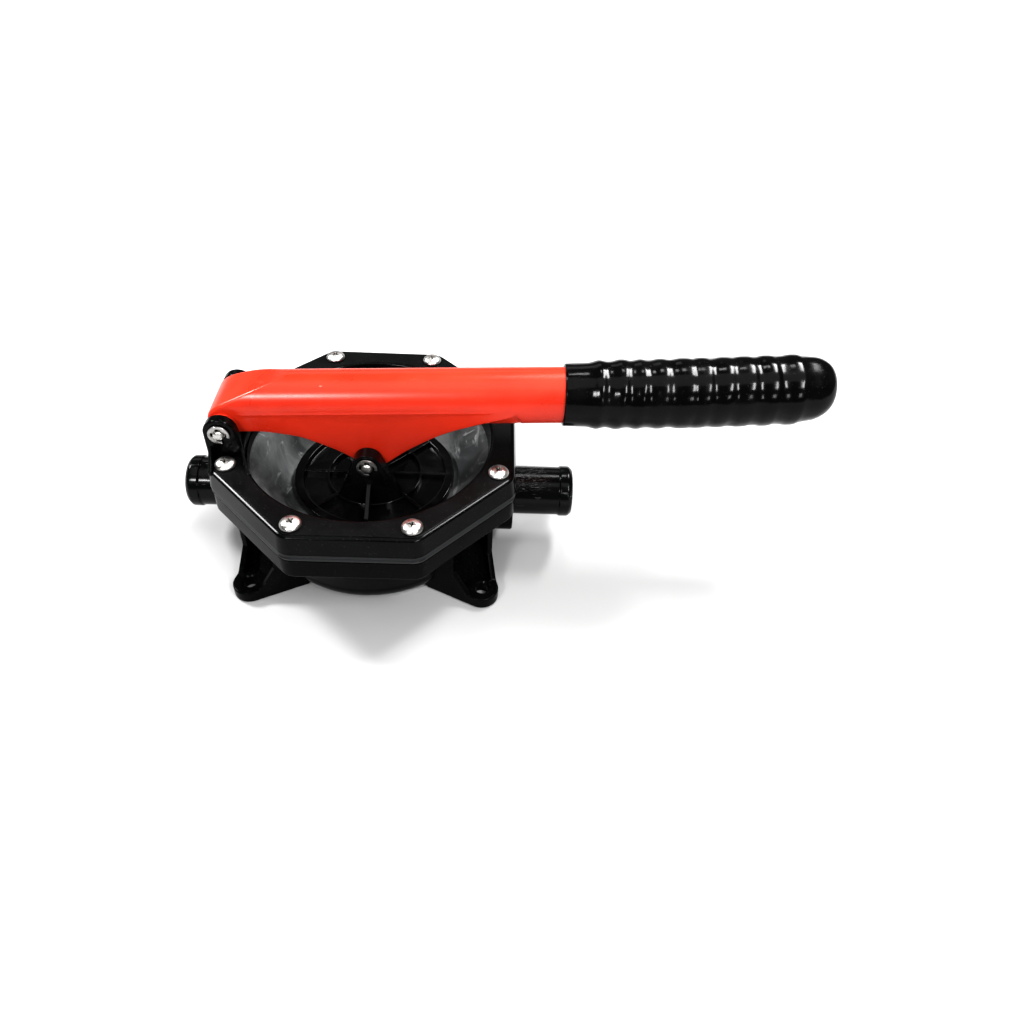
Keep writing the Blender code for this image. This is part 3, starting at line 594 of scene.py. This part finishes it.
def foot_wall(start, end, outline, inward, sides):
    """An upright wall, 3 mm thick. Its outline gives (distance from the start, height)."""
    run = (Vector(end) - Vector(start)).normalized()
    inset = Vector((-run.y, run.x)) * inward * 3.0
    loops = []
    for shift in (Vector((0, 0)), inset):
        places = [(Vector(start) + run * along + shift, z) for along, z in outline]
        loops.append([foot_point(spot.x, spot.y, z, *sides) for spot, z in places])
    return bevelled(stacked("foot_wall", loops), 0.55 * MM, 3)


def foot(sides):
    """A foot's pad, its two walls and the slope between them, and the cutter for its bolt hole.

    Points are in millimetres, as on the front right foot.
    """
    pad_top = 6.5
    rim = [(*point, z) for z in (0, pad_top) for point in arc(FOOT_HOLE, 8.5, 0, 350, 35)]
    corners = ((30, -43.6), (32, -30), (50, -18), (60, -24))
    root = [(*corner, z) for z in (0, pad_top) for corner in corners]
    pad = hulled("foot_pad", [foot_point(*point, *sides) for point in rim + root])
    edge = [(11.5, 41), (11.5, 18.5), (3, 6.5), (0, 6.0)]
    front = foot_wall((54.3, -55.6), (30, -43.6), [(0, 1), (32, 1), (32, 41), *edge], -1, sides)
    side = foot_wall((66.5, -45.6), (60, -24), [(0, 1), (26, 1), (26, 41), *edge], 1, sides)
    slope = [(*point, z) for z in (1, 6.3) for point in ((45.4, -48.8), (62.2, -36.0))]
    slope += [(*point, z) for z in (1, 27) for point in ((31.2, -42.0), (58.5, -22.4))]
    floor = hulled("foot_floor", [foot_point(*point, *sides) for point in slope])
    profile = [(0, -5), (3.4, -5), (3.4, 5.7), (4.6, 6.9), (4.6, 12), (0, 12)]
    hole = turned("foot_hole", scaled(profile), foot_point(*FOOT_HOLE, 0, *sides), steps=48)
    return [bevelled(pad, 0.8 * MM, 4, 40), front, side, floor], hole


def bowl(name, inset, low, top, top_radius):
    """The bowl's outside, or with an inset the cutter for its inside."""
    bottom_round = 14.0 * MM - inset
    profile = [(0, low)]
    profile += arc((43.5 * MM, low + bottom_round), bottom_round, -90, 0, 14)
    profile += [(top_radius, FLANGE_LOW + 1.0 * MM), (top_radius, top), (0, top)]
    return turned(name, profile, steps=144)


def port_block(side):
    """The block under the flange that holds a hose tail, with round lower edges."""
    half, low_round, middle_z = 21.0 * MM, 9.8 * MM, 25.3 * MM
    outline = arc((half - low_round, middle_z), low_round, 0, -90, 12)
    outline += arc((low_round - half, middle_z), low_round, -90, -180, 12)
    outline += [(-half, 41.0 * MM), (half, 41.0 * MM)]
    ends = (side * 50 * MM, side * 73.2 * MM)
    block = stacked("port_block", [[(x, y, z) for y, z in outline] for x in ends])
    return bevelled(block, 1.0 * MM, 4, 40)


# Bores along X in millimetres: (from, to, radius). Each side has a pocket for its hose tail, and
# a way into the bowl.
PORT_BORES = ((-80, -62, 13.0), (-64, -45, 11.8), (62, 80, 13.0), (45, 64, 9.5))
PILOT_RADIUS = 2.4 * MM


def pump_body():
    body = bowl("pump_body_moulding", 0, 0, 42 * MM, 64 * MM)
    side = [(71.9, 40.0), (72.5, 40.1), (72.95, 40.45), (73.2, 41.1), (73.2, 50.5), (73.1, 50.8)]
    flange = stacked("flange", [octagon(*size) for size in scaled([*side, (72.8, 50.9)])])
    solids, cuts = [flange, port_block(-1), port_block(1)], []
    for sides in ((-1, -1), (-1, 1), (1, -1), (1, 1)):
        parts, hole = foot(sides)
        solids += parts
        cuts.append(hole)
    combine(body, "UNION", *solids)
    wall = 3.5 * MM
    cuts.append(bowl("chamber", wall, wall, 51.9 * MM, 59.8 * MM))
    for low, high, radius in PORT_BORES:
        cuts.append(cylinder("bore", radius * MM, low * MM, high * MM, (0, 0, PORT_Z), "X"))
    for x, y in screw_places():
        cuts.append(cylinder("pilot", PILOT_RADIUS, 42.5 * MM, 52 * MM, (x, y, 0), steps=24))
    combine(body, "DIFFERENCE", *cuts)
    place(settle(body), BODY, "housing_plastic", "housing", "pump_body")


# The diaphragm. Outlines in millimetres: (half width or radius, height).

GASKET_SIDE = [
    (72.4, 51.2), (73.3, 51.5), (73.5, 52.3), (73.0, 53.0),
    (72.9, 53.4), (73.5, 54.1), (73.3, 54.9), (72.4, 55.2),
]
CONE_TOP = [
    (66.0, 55.2), (61.8, 55.15), (59.3, 54.6), (57.3, 53.5), (55.2, 51.4), (53.0, 48.6),
    (50.7, 45.2), (48.4, 41.7), (46.0, 38.3), (43.8, 35.7), (41.4, 34.2), (38.5, 33.9),
]
CONE_UNDERSIDE = [
    (38.5, 31.9), (41.6, 32.1), (44.6, 33.3), (47.2, 35.9), (49.6, 39.4),
    (52.0, 43.0), (54.3, 46.6), (56.5, 49.7), (59.0, 51.2), (63.0, 51.3),
]


def diaphragm():
    rows = [octagon(*size) for size in scaled(GASKET_SIDE)]
    rows += [circle_inside(*size) for size in smooth(scaled(CONE_TOP), 3)]
    middle_hole = 4.3 * MM
    rows += [circle_inside(middle_hole, 33.9 * MM), circle_inside(middle_hole, 31.9 * MM)]
    rows += [circle_inside(*size) for size in smooth(scaled(CONE_UNDERSIDE), 3)]
    piece = stacked("diaphragm_moulding", rows, ring=True, sharp=50)
    piece.data.materials.append(RUBBER)
    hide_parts("diaphragm")
    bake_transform(piece)


# The plate on the diaphragm, with the clevis.

# Half of a cheek's foot, in millimetres from the plate's middle. It stays inside the rib ring.
CHEEK_FOOT = ((16.0, 14.3), (16.0, 16.8), (14.7, 18.0), (13.0, 19.2), (11.6, 20.1), (9.8, 21.0))


def cheek(side):
    """One side of the clevis: a round boss for the pin, on a wide foot."""
    boss = [
        (x, side * y * MM, z)
        for x, z in arc((CLEVIS.x, CLEVIS.z), 6.8 * MM, 0, 352.5, 47)
        for y in (14.3, 21.0)
    ]
    base = [
        (CLEVIS.x + end * x * MM, side * y * MM, z * MM)
        for end in (-1, 1)
        for x, y in CHEEK_FOOT
        for z in (35.2, 40.2)
    ]
    return bevelled(hulled("cheek", boss + base), 0.7 * MM, 3, 25)


def gusset(side):
    """A sloping rib that props a cheek from outside."""
    outline = scaled([(20.0, 35.8), (37.0, 35.8), (37.0, 41.9), (20.0, 50.9)])
    half = 1.15 * MM
    loops = [[(CLEVIS.x + x, side * y, z) for y, z in outline] for x in (-half, half)]
    return bevelled(stacked("gusset", loops), 0.4 * MM, 3)


def ribs(centre, low, high):
    """A ring and four full-width ribs, which make eight spokes, and the boss they meet at."""
    profile = [(23.2, 36.3), (24.6, 36.3), (24.6, 39.8), (23.2, 39.8)]
    rib_ring = turned("rib_ring", scaled(profile), centre, steps=128, ring=True)
    parts = [bevelled(rib_ring, 0.45 * MM, 3, 60)]
    half_length, half_width = 36.6, 0.85
    for i in range(4):
        angle = math.radians(45 * i)
        run = Vector((math.cos(angle), math.sin(angle), 0)) * half_length * MM
        across = Vector((-math.sin(angle), math.cos(angle), 0)) * half_width * MM
        corners = [run + across, run - across, -run - across, -run + across]
        loops = [[Vector((CLEVIS.x, 0, z)) + corner for corner in corners] for z in (low, high)]
        parts.append(bevelled(stacked("rib", loops), 0.4 * MM, 3))
    boss = cylinder("boss", 6.5 * MM, 35.6 * MM, 48 * MM, centre, steps=64)
    parts.append(bevelled(boss, 0.6 * MM, 3, 60))
    return parts


def ejector_marks():
    """Cutters for the shallow rings that moulding leaves between the ribs."""
    marks = []
    profile = scaled([(2.3, 37.0), (2.8, 37.0), (2.8, 38.0), (2.3, 38.0)])
    radius = 30.3 * MM
    for angle in (-118, -62, 62, 118, 20, 160):
        x = CLEVIS.x + radius * math.cos(math.radians(angle))
        y = radius * math.sin(math.radians(angle))
        marks.append(turned("ejector_mark", profile, (x, y, 0), steps=32, ring=True))
    return marks


def diaphragm_plate():
    centre = (CLEVIS.x, 0, 0)
    outline = [(0, 34.2), (39.0, 34.2), (41.0, 36.2), (41.0, 40.0), (36.4, 40.0), (36.2, 37.2)]
    profile = rounded(scaled([*outline, (0, 37.2)]), 0.7 * MM)
    plate = turned("diaphragm_plate_moulding", profile, centre, steps=160)
    parts = ribs(centre, 36.4 * MM, 39.85 * MM)
    for side in (-1, 1):
        parts += [cheek(side), gusset(side)]
    combine(plate, "UNION", *parts)
    marks = ejector_marks()
    bore = pin_bore(CLEVIS)
    thread = cylinder("thread_bore", 3.1 * MM, 32 * MM, 45.3 * MM, centre, steps=32)
    combine(plate, "DIFFERENCE", bore, thread, *marks)
    place(settle(plate), PLATE, "plate_plastic", "plunger", "diaphragm_plate")


# The lever. Outlines seen from the side, as (X, Z) in millimetres.

NOSE_POINTS = [
    (-73.9, 79.6), (-73.6, 82.2), (-72.5, 85.3), (-67.9, 89.2), (-60.2, 92.7),
    (-50, 96.6), (-39.9, 99.5), (-30, 101.2), (-18, 102.6),
]
LEFT_EDGE = [
    (-66, 74.0), (-58.8, 74.9), (-48.8, 75.3), (-40.4, 74.4),
    (-31.1, 72.7), (-22, 68.9), (-12.8, 64.2), (-7.3, 60.5),
]
RIGHT_EDGE = [
    (9.2, 57.3), (16.4, 63.4), (21.4, 67.2), (31.3, 73.7),
    (41, 78.8), (55.2, 84), (66, 87.6), (74, 91.6),
]
NOSE = smooth(scaled(NOSE_POINTS))
UNDERSIDE = [
    *arc((-66.5 * MM, 79.2 * MM), 7.42 * MM, 184, 232, 8),
    *smooth(scaled(LEFT_EDGE)),
    *arc((3.6 * MM, 60.4 * MM), 6.0 * MM, 236, 310, 8),
    *smooth(scaled(RIGHT_EDGE)),
]


def at(curve, x):
    """The height of a curve that runs left to right, at x."""
    if x <= curve[0][0]:
        return curve[0][1]
    for (x0, z0), (x1, z1) in zip(curve, curve[1:]):
        if x <= x1:
            return z0 + (z1 - z0) * (x - x0) / max(x1 - x0, 1e-9)
    return curve[-1][1]


def lever_top(x):
    """The cap on the lever's height near its nose, far above it elsewhere."""
    if x < NOSE[-1][0]:
        return at(NOSE, x)
    return NOSE[-1][1] + (x - NOSE[-1][0]) * 0.6


TOP_ANGLES = [88 * i / 17 for i in range(18)]
LIP = 0.8 * MM
EDGE = 1.8 * MM
SEAM_Z = 0.3 * MM
SEAM_PROUD = 0.13 * MM
CHANNEL_END = 36 * MM
LEVER_SHARP = 42


def lever_upper(x, radius):
    """The right half of a section, from the seam up to the middle of the top."""
    axis, cap = lever_axis(x), lever_top(x)
    edge = min(EDGE, max(0.3 * MM, (cap - at(UNDERSIDE, x)) * 0.4))
    inner = radius - edge
    reach = max(0.0, min(inner, cap - edge - axis))
    corner_y = math.sqrt(max(inner**2 - reach**2, 0.0)) if cap - edge > axis else inner
    points = []
    for angle in TOP_ANGLES:
        turn = math.radians(angle)
        y, z = inner * math.cos(turn), axis + inner * math.sin(turn)
        if z > cap - edge:
            y, z = corner_y, cap - edge
        points.append((y + edge * math.cos(turn), z + edge * math.sin(turn)))
    return points


def lever_section(x, radius):
    """Half of the lever's outline, top to bottom, on the +Y side."""
    upper = lever_upper(x, radius)
    axis, low = lever_axis(x), at(UNDERSIDE, x)
    points = list(reversed(upper))
    side_top = upper[0][1]
    drop = max(axis - low, 0.0)
    split = math.sqrt(max(radius**2 - drop**2, 0.0)) if x > CHANNEL_END and drop < radius else 0.0
    split = max(split, 3.0 * MM)
    lip = min(LIP, (radius - split) / 2, (side_top - low) * 0.3)
    seam = min(SEAM_Z, (side_top - low) * 0.1)
    proud = SEAM_PROUD if -60 * MM < x < 62 * MM and side_top > axis - 0.5 * MM else 0.0
    points += [(radius + proud, side_top - seam), (radius + proud, side_top - 1.6 * seam)]
    points.append((radius, side_top - 2.6 * seam))
    bottom = low + lip
    for i in range(1, 5):
        points.append((radius, side_top - 2.6 * seam + (bottom - side_top + 2.6 * seam) * i / 5))
    points += [(y, z) for y, z in arc((radius - lip, bottom), lip, 0, -90, 3)]
    for i in range(1, 4):
        points.append((radius - lip + (split - radius + lip) * i / 4, low))
    for i in range(7):
        y = split * (1 - i / 7)
        tube = axis - math.sqrt(max(radius**2 - y**2, 0.0))
        points.append((y, min(low, tube) if x > CHANNEL_END else low))
    return points


def lever_loop(x, radius):
    """A whole section, closed by one point in the middle of its underside."""
    half = lever_section(x, radius)
    bottom = half[-1][1]
    if x > CHANNEL_END:
        bottom = min(bottom, lever_axis(x) - radius)
    right = [(x, y, z) for y, z in half]
    left = [(x, -y, z) for y, z in reversed(half)]
    return [*right, (x, 0, bottom), *left]


def tube_loop(x, radius, count):
    """A circle whose points match the order of the lever's sections."""
    upper = len(TOP_ANGLES)
    angles = [88 - 88 * i / (upper - 1) for i in range(upper)]
    lower = (count + 1) // 2 - upper
    angles += [-(90 * (i + 1)) / lower for i in range(lower)]
    right = [(radius * math.cos(math.radians(a)), radius * math.sin(math.radians(a))) for a in angles]
    left = [(-y, z) for y, z in reversed(right[:-1])]
    return [(x, y, lever_axis(x) + z) for y, z in right + left]


def lever_skin():
    """The lever before it is hollowed: the sections of its channel, then the plain tube."""
    nose, nose_round = -73.9, 1.5
    xs = [-73.9, -73.8, -73.6, -73.3, -72.9, -72.4, -71.7, -70.9, -70, -69, -68, -66.8, -65.4, -64]
    xs += [-62 + 2.0 * i for i in range(68)]
    loops = []
    for x in xs:
        front = max(0.0, nose_round - (x - nose))
        inset = nose_round - math.sqrt(max(nose_round**2 - front**2, 0.0))
        loops.append(lever_loop(x * MM, LEVER_RADIUS - inset * MM))
    count = len(loops[0])
    for x in (75, 78, *range(82, 212, 4), 214):
        loops.append(tube_loop(x * MM, LEVER_RADIUS, count))
    return stacked("lever_moulding", loops, sharp=LEVER_SHARP)


def lever_slot():
    """A cutter for the slot that lets the clevis pin rise straight while the lever swings."""
    tilt = math.degrees(math.atan2(CLEVIS.z - HINGE.z, CLEVIS.x - HINGE.x))
    along = Vector((math.cos(math.radians(tilt)), math.sin(math.radians(tilt))))
    middle = Vector((CLEVIS.x, CLEVIS.z))
    half_width = 3.2 * MM
    outline = arc(middle + along * 1.76 * MM, half_width, tilt - 90, tilt + 90, 16)
    outline += arc(middle - along * 2.53 * MM, half_width, tilt + 90, tilt + 270, 16)
    return stacked("slot", along_y(outline, -30 * MM, 30 * MM))


def lever():
    piece = lever_skin()
    inner = LEVER_RADIUS - LEVER_WALL
    channel = []
    for x in [-68.4, -68, -67, -65.5, -63, *range(-60, 37, 4)]:
        axis, cap = lever_axis(x * MM), lever_top(x * MM) - LEVER_WALL
        top = [(y, min(z, cap)) for y, z in arc((0, axis), inner, 4, 176, 24)]
        channel.append([(x * MM, y, z) for y, z in [*top, (-inner, 40 * MM), (inner, 40 * MM)]])
    bore = []
    for x in (34, *range(74, 214, 10), 220):
        circle = arc((0, lever_axis(x * MM)), inner - 0.05 * MM, 0, 350, 35)
        bore.append([(x * MM, y, z) for y, z in circle])
    combine(piece, "DIFFERENCE", stacked("channel", channel), sharp=LEVER_SHARP)
    combine(piece, "DIFFERENCE", stacked("bore", bore), sharp=LEVER_SHARP)
    hub = cylinder("hub", 6.3 * MM, -15.2 * MM, 15.2 * MM, HINGE, "Y")
    combine(piece, "UNION", bevelled(hub, 0.3 * MM, 2, 60), sharp=LEVER_SHARP)
    combine(piece, "DIFFERENCE", pin_bore(HINGE), lever_slot(), sharp=LEVER_SHARP)
    place(piece, RED, "red_plastic", "lever", "handle")


# The grip. These lengths are in millimetres.

RIDGES = [110.9, 120.9, 130.2, 140.1, 151.2, 159.4, 169.4, 179.3, 190.3, 202.4]
NECK_RADIUS, GRIP_SWELL, SWELL_LENGTH = 15.0, 1.25, 62
TAPER_START, TAPER = 203.8, 0.12
END_ROUND, END_DROP = 9.5, 7.4
LIP_ROUND, LIP_DROP = 0.8, 0.55
WIDEST, WIDEST_EASE = 16.6, 0.35


def quarter_round(distance, length, drop):
    """How far a rounded edge lies below the full radius, at a distance from the end."""
    return drop * (1 - math.sqrt(max(0.0, 1 - (1 - distance / length) ** 2)))


def grip_radius(x, angle):
    """The dipped sleeve's outer radius, with soft uneven ridges and a rounded end."""
    mm = x / MM
    swell = min(1.0, max(0.0, mm - 94.6) / SWELL_LENGTH)
    body = NECK_RADIUS + GRIP_SWELL * math.sin(math.pi / 2 * swell)
    lean = 0.5 * math.sin(angle + 0.7)
    for i, ridge in enumerate(RIDGES):
        width = 3.0 + 0.35 * math.sin(i * 2.1)
        tall = 0.95 + 0.2 * math.sin(i * 1.7 + 0.5)
        body += tall * math.exp(-(((mm - ridge - lean * math.sin(i * 1.3)) / width) ** 2))
    point = Vector((mm / 14, 2.2 * math.cos(angle), 2.2 * math.sin(angle)))
    body += 0.16 * noise.noise(point) + 0.05 * noise.noise(point * 3.1)
    body -= TAPER * max(0.0, mm - TAPER_START)
    left = GRIP_END / MM - mm
    if left < END_ROUND:
        body -= quarter_round(left, END_ROUND, END_DROP)
    start = mm - GRIP_START / MM
    if start < LIP_ROUND:
        body -= quarter_round(start, LIP_ROUND, LIP_DROP)
    if body > WIDEST:
        body = WIDEST + WIDEST_EASE * (1 - math.exp((WIDEST - body) / WIDEST_EASE))
    return body * MM


def grip():
    steps = 112
    xs = [94.6, 94.7, 94.9, 95.2, 95.4] + [96 + 0.75 * i for i in range(158)]
    xs += [214.8, 215.5, 216.3, 217.1, 217.9, 218.7, 219.4, 220.1, 220.7, 221.2, 221.6, 221.85, 222.0]
    loops = []
    for x in xs:
        centre = lever_axis(x * MM)
        loop = []
        for i in range(steps):
            angle = math.tau * i / steps
            radius = grip_radius(x * MM, angle)
            loop.append((x * MM, radius * math.cos(angle), centre + radius * math.sin(angle)))
        loops.append(loop)
    centre, end = lever_axis(GRIP_END), loops[-1]
    for shrink in (0.75, 0.5, 0.25):
        loops.append([(GRIP_END, y * shrink, centre + (z - centre) * shrink) for _, y, z in end])
    sleeve = stacked("grip_sleeve", loops, sharp=60)
    bore = []
    for x in (90, 100, *range(110, 211, 10), 214.3):
        circle = arc((0, lever_axis(x * MM)), LEVER_RADIUS + 0.3 * MM, 0, 355, 71)
        bore.append([(x * MM, y, z) for y, z in circle])
    combine(sleeve, "DIFFERENCE", stacked("grip_bore", bore), sharp=60)
    place(sleeve, VINYL, "grip_vinyl", "lever", "grip")


# Fasteners.

# The screw's outline in millimetres: (radius, height over the head's underside).
SCREW_HEAD = [
    (0, 2.7), (1.2, 2.66), (2.4, 2.45), (3.5, 2.05), (4.35, 1.5), (4.85, 0.9), (5.0, 0.4), (4.9, 0.0),
]
HEAD_Z, SHANK_RADIUS, SHANK_LENGTH = 65.85, 1.9, 22.35
RECESS_TURNS = (25, 8, 52, 70, 12, 38, 80, 60)


def recess(turn):
    """Cutters for a cross recess: two tapering bars and a cone in their middle."""
    base = HEAD_Z * MM
    floor, above = base + 0.8 * MM, base + 3.2 * MM
    cuts = []
    for arm in (0, 90):
        spin = Matrix.Rotation(math.radians(turn + arm), 3, "Z")
        loops = []
        for long, wide, z in ((1.1, 0.26, floor), (2.1, 0.42, above)):
            corners = ((long, wide), (-long, wide), (-long, -wide), (long, -wide))
            loops.append([spin @ Vector((a * MM, b * MM, z)) for a, b in corners])
        cuts.append(stacked("recess", loops))
    cone = [(0, base + 0.6 * MM), (1.25 * MM, above), (0, above)]
    return [*cuts, turned("recess_core", cone, steps=24)]


def screws():
    head = [(radius, height + HEAD_Z) for radius, height in smooth(SCREW_HEAD, 3)]
    tip = HEAD_Z - SHANK_LENGTH
    profile = scaled([*head, (SHANK_RADIUS, HEAD_Z), (SHANK_RADIUS, tip), (0, tip)])
    for number, ((x, y), turn) in enumerate(zip(screw_places(), RECESS_TURNS), start=1):
        screw = turned(f"screw_{number}", profile, steps=48)
        combine(screw, "DIFFERENCE", *recess(turn))
        screw.data.transform(Matrix.Translation((x, y, 0)))
        screw = bevelled(screw, 0.09 * MM, 2, 40)
        place(screw, STEEL, "stainless_steel", "housing", f"ring_screw_{number}")


def pin(name, node, middle, body):
    """A pin along Y with a domed end and a groove for its clip at each side, in millimetres."""
    half = [(0, -23.6), (0.9, -23.55), (1.6, -23.4), (2.1, -23.15), (2.45, -22.85), (2.62, -22.5)]
    half += [(2.62, -22.35), (2.0, -22.35), (2.0, -21.1), (2.7, -21.1)]
    profile = half + [(radius, -along) for radius, along in reversed(half)]
    piece = turned(name, scaled(profile), middle, "Y", 48)
    place(piece, STEEL, "stainless_steel", body, node)


# Stretches of an E-clip's inner edge, in degrees: its three prongs, and where it stands clear.
PRONGS = ((286, 254), (196, 164), (106, 74))
RELIEFS = ((330, 297), (243, 207), (153, 117), (63, 30))


def clip(name, node, middle, side, body):
    """An E-clip in a pin's groove, open towards the lower right."""
    outer = arc((0, 0), 5.1 * MM, 30, 330, 60)
    inner = []
    for start, end in sorted(PRONGS + RELIEFS, reverse=True):
        radius = 2.3 if (start, end) in PRONGS else 3.7
        inner += arc((0, 0), radius * MM, start, end, 6)
    turn = Matrix.Rotation(math.radians(-48), 2)
    outline = [turn @ Vector(point) for point in outer + inner]
    loops = along_y(outline, side * 21.4 * MM, side * 22.2 * MM)
    piece = stacked(name, [[Vector(point) + middle for point in loop] for loop in loops])
    place(bevelled(piece, 0.12 * MM, 2, 50), SPRING, "stainless_steel", body, node)


# Hose tails.


def inlet_mark(side):
    """A cutter for the small circle that is engraved in the inlet's tail, just in front of its top."""
    circle = scaled([(1.25, 11.9), (1.55, 11.9), (1.55, 13.5), (1.25, 13.5)])
    mark = turned("mark", circle, steps=32, ring=True)
    lean = Matrix.Rotation(math.radians(16.5), 4, "X")
    mark.data.transform(Matrix.Translation((side * 86.7 * MM, 0, PORT_Z)) @ lean)
    return mark


def hose_tail(name, node, side, start, end, counterbored):
    """A tail with a bead at its mouth. A counterbored one is wider at its root, for the flap."""
    bead = end - 7.0
    outer = [(12.7, start), (12.7, bead), (13.3, bead + 0.7), (13.3, end - 1.8)]
    outer += [(11.6, end), (10.3, end)]
    inner = [(10.0, end - 0.4)]
    if counterbored:
        inner += [(10.0, start + 16), (11.6, start + 14.5), (11.6, start)]
    else:
        inner += [(10.0, start)]
    outline = rounded(scaled(outer), 0.9 * MM, 5) + scaled(inner)
    profile = [(radius, side * along) for radius, along in outline]
    piece = turned(name, profile, (0, 0, PORT_Z), "X", 128, ring=True, sharp=50)
    if not counterbored:
        combine(piece, "DIFFERENCE", inlet_mark(side), sharp=50)
    place(piece, PORT, "housing_plastic", "housing", node)


# Putting it together.

pump_body()
clamp_ring()
diaphragm()
diaphragm_plate()
lever()
grip()
screws()
pin("hinge_pin_shaft", "hinge_pin", HINGE, "housing")
pin("clevis_pin_shaft", "clevis_pin", CLEVIS, "plunger")
clip("hinge_clip_front_e", "hinge_clip_front", HINGE, -1, "housing")
clip("hinge_clip_rear_e", "hinge_clip_rear", HINGE, 1, "housing")
clip("clevis_clip_front_e", "clevis_clip_front", CLEVIS, -1, "plunger")
clip("clevis_clip_rear_e", "clevis_clip_rear", CLEVIS, 1, "plunger")
hose_tail("inlet_hose_tail", "inlet_port", -1, 66.2, 95.1, False)
hose_tail("outlet_hose_tail", "outlet_port", 1, 64.7, 104.2, True)

# CAD pieces that stay as they are, out of sight inside the pump, in the materials of this script.
KEPT = {
    "clamp_plate": PLATE,
    "plate_screw": STEEL,
    "inlet_flap": RUBBER,
    "outlet_flap": RUBBER,
}
for node, material in KEPT.items():
    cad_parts[node].material_slots[0].material = material


# Floor, light and camera.


def floor_material():
    """Pale and matt. It glows away from the pump, where the lights fade."""
    s = Shader("pale_floor", (0.50, 0.50, 0.50), 0.8, Specular_IOR_Level=0.1)
    s.colour(s.mix(s.noise(3, 2), (0.49, 0.49, 0.49), (0.51, 0.51, 0.51)))
    s.main.inputs["Emission Color"].default_value = (1.0, 1.0, 1.0, 1)
    glow_start, glow_full, glow = 0.35, 1.3, 0.9
    strength = s.ramp(s.reach(), glow_start, glow_full, 0.0, glow)
    s.link(strength, s.main.inputs["Emission Strength"])
    return s.material


def stage():
    work = bmesh.new()
    bmesh.ops.create_grid(work, x_segments=8, y_segments=8, size=4.0)
    floor = make_object("floor", work)
    floor.location.z = -0.0005
    floor.data.materials.append(floor_material())


LIGHTS_AIM_Z = 0.06


def area_light(name, location, width, height, radiance):
    """A rectangular light that faces straight across the lever's length."""
    light = bpy.data.lights.new(name, "AREA")
    light.shape = "RECTANGLE"
    light.size, light.size_y = width, height
    light.energy = radiance * math.pi * width * height
    obj = bpy.data.objects.new(name, light)
    obj.location = location
    facing = Vector((0, -location[1], LIGHTS_AIM_Z - location[2]))
    obj.rotation_euler = facing.to_track_quat("-Z", "Y").to_euler()
    bpy.context.scene.collection.objects.link(obj)


def lights():
    area_light("key_back_right", (0.54, 0.46, 1.06), 0.20, 0.62, 56)
    area_light("back_middle", (0.14, 0.50, 1.03), 0.20, 0.18, 18)
    area_light("back_left", (-0.79, 0.32, 0.87), 0.28, 0.26, 90)
    area_light("back_low", (-0.25, 1.10, 0.66), 0.90, 0.30, 1.2)
    area_light("front_right", (0.52, -0.62, 0.95), 0.15, 0.40, 54)
    area_light("front_low", (0.46, -1.05, 0.49), 0.14, 0.20, 20)
    area_light("front_left", (-0.38, -0.77, 0.73), 0.24, 0.10, 90)
    area_light("overhead", (0.10, -0.25, 1.50), 1.60, 1.00, 1.7)


def studio_world():
    """A dim white room that looks white where it is seen directly."""
    world = bpy.data.worlds.new("studio")
    bpy.context.scene.world = world
    world.use_nodes = True
    back = world.node_tree.nodes["Background"]
    seen = world.node_tree.nodes.new("ShaderNodeLightPath").outputs["Is Camera Ray"]
    strength = world.node_tree.nodes.new("ShaderNodeMapRange")
    as_light, as_seen = 0.14, 1.0
    strength.inputs["To Min"].default_value = as_light
    strength.inputs["To Max"].default_value = as_seen
    world.node_tree.links.new(seen, strength.inputs["Value"])
    world.node_tree.links.new(strength.outputs[0], back.inputs["Strength"])
    back.inputs["Color"].default_value = (1.0, 1.0, 1.0, 1)


CAMERA_PLACE = (0.05823, -0.31574, 0.32868)
CAMERA_RIGHT = Vector((0.99897, -0.00364, 0.04522))
CAMERA_DOWN = Vector((0.03071, -0.67926, -0.73325))
SENSOR_WIDTH, FOCAL_LENGTH, SHIFT_Y = 36.0, 28.68, -0.03125


def camera():
    data = bpy.data.cameras.new("camera")
    data.sensor_width = SENSOR_WIDTH
    data.lens = FOCAL_LENGTH
    data.shift_y = SHIFT_Y
    data.clip_start = 0.01
    obj = bpy.data.objects.new("camera", data)
    obj.location = CAMERA_PLACE
    back = CAMERA_RIGHT.cross(-CAMERA_DOWN)
    obj.rotation_euler = Matrix((CAMERA_RIGHT, -CAMERA_DOWN, back)).transposed().to_euler()
    bpy.context.scene.collection.objects.link(obj)
    bpy.context.scene.camera = obj


stage()
lights()
studio_world()
camera()
bpy.context.scene.view_settings.view_transform = "Standard"
bpy.context.scene.view_settings.gamma = 0.78
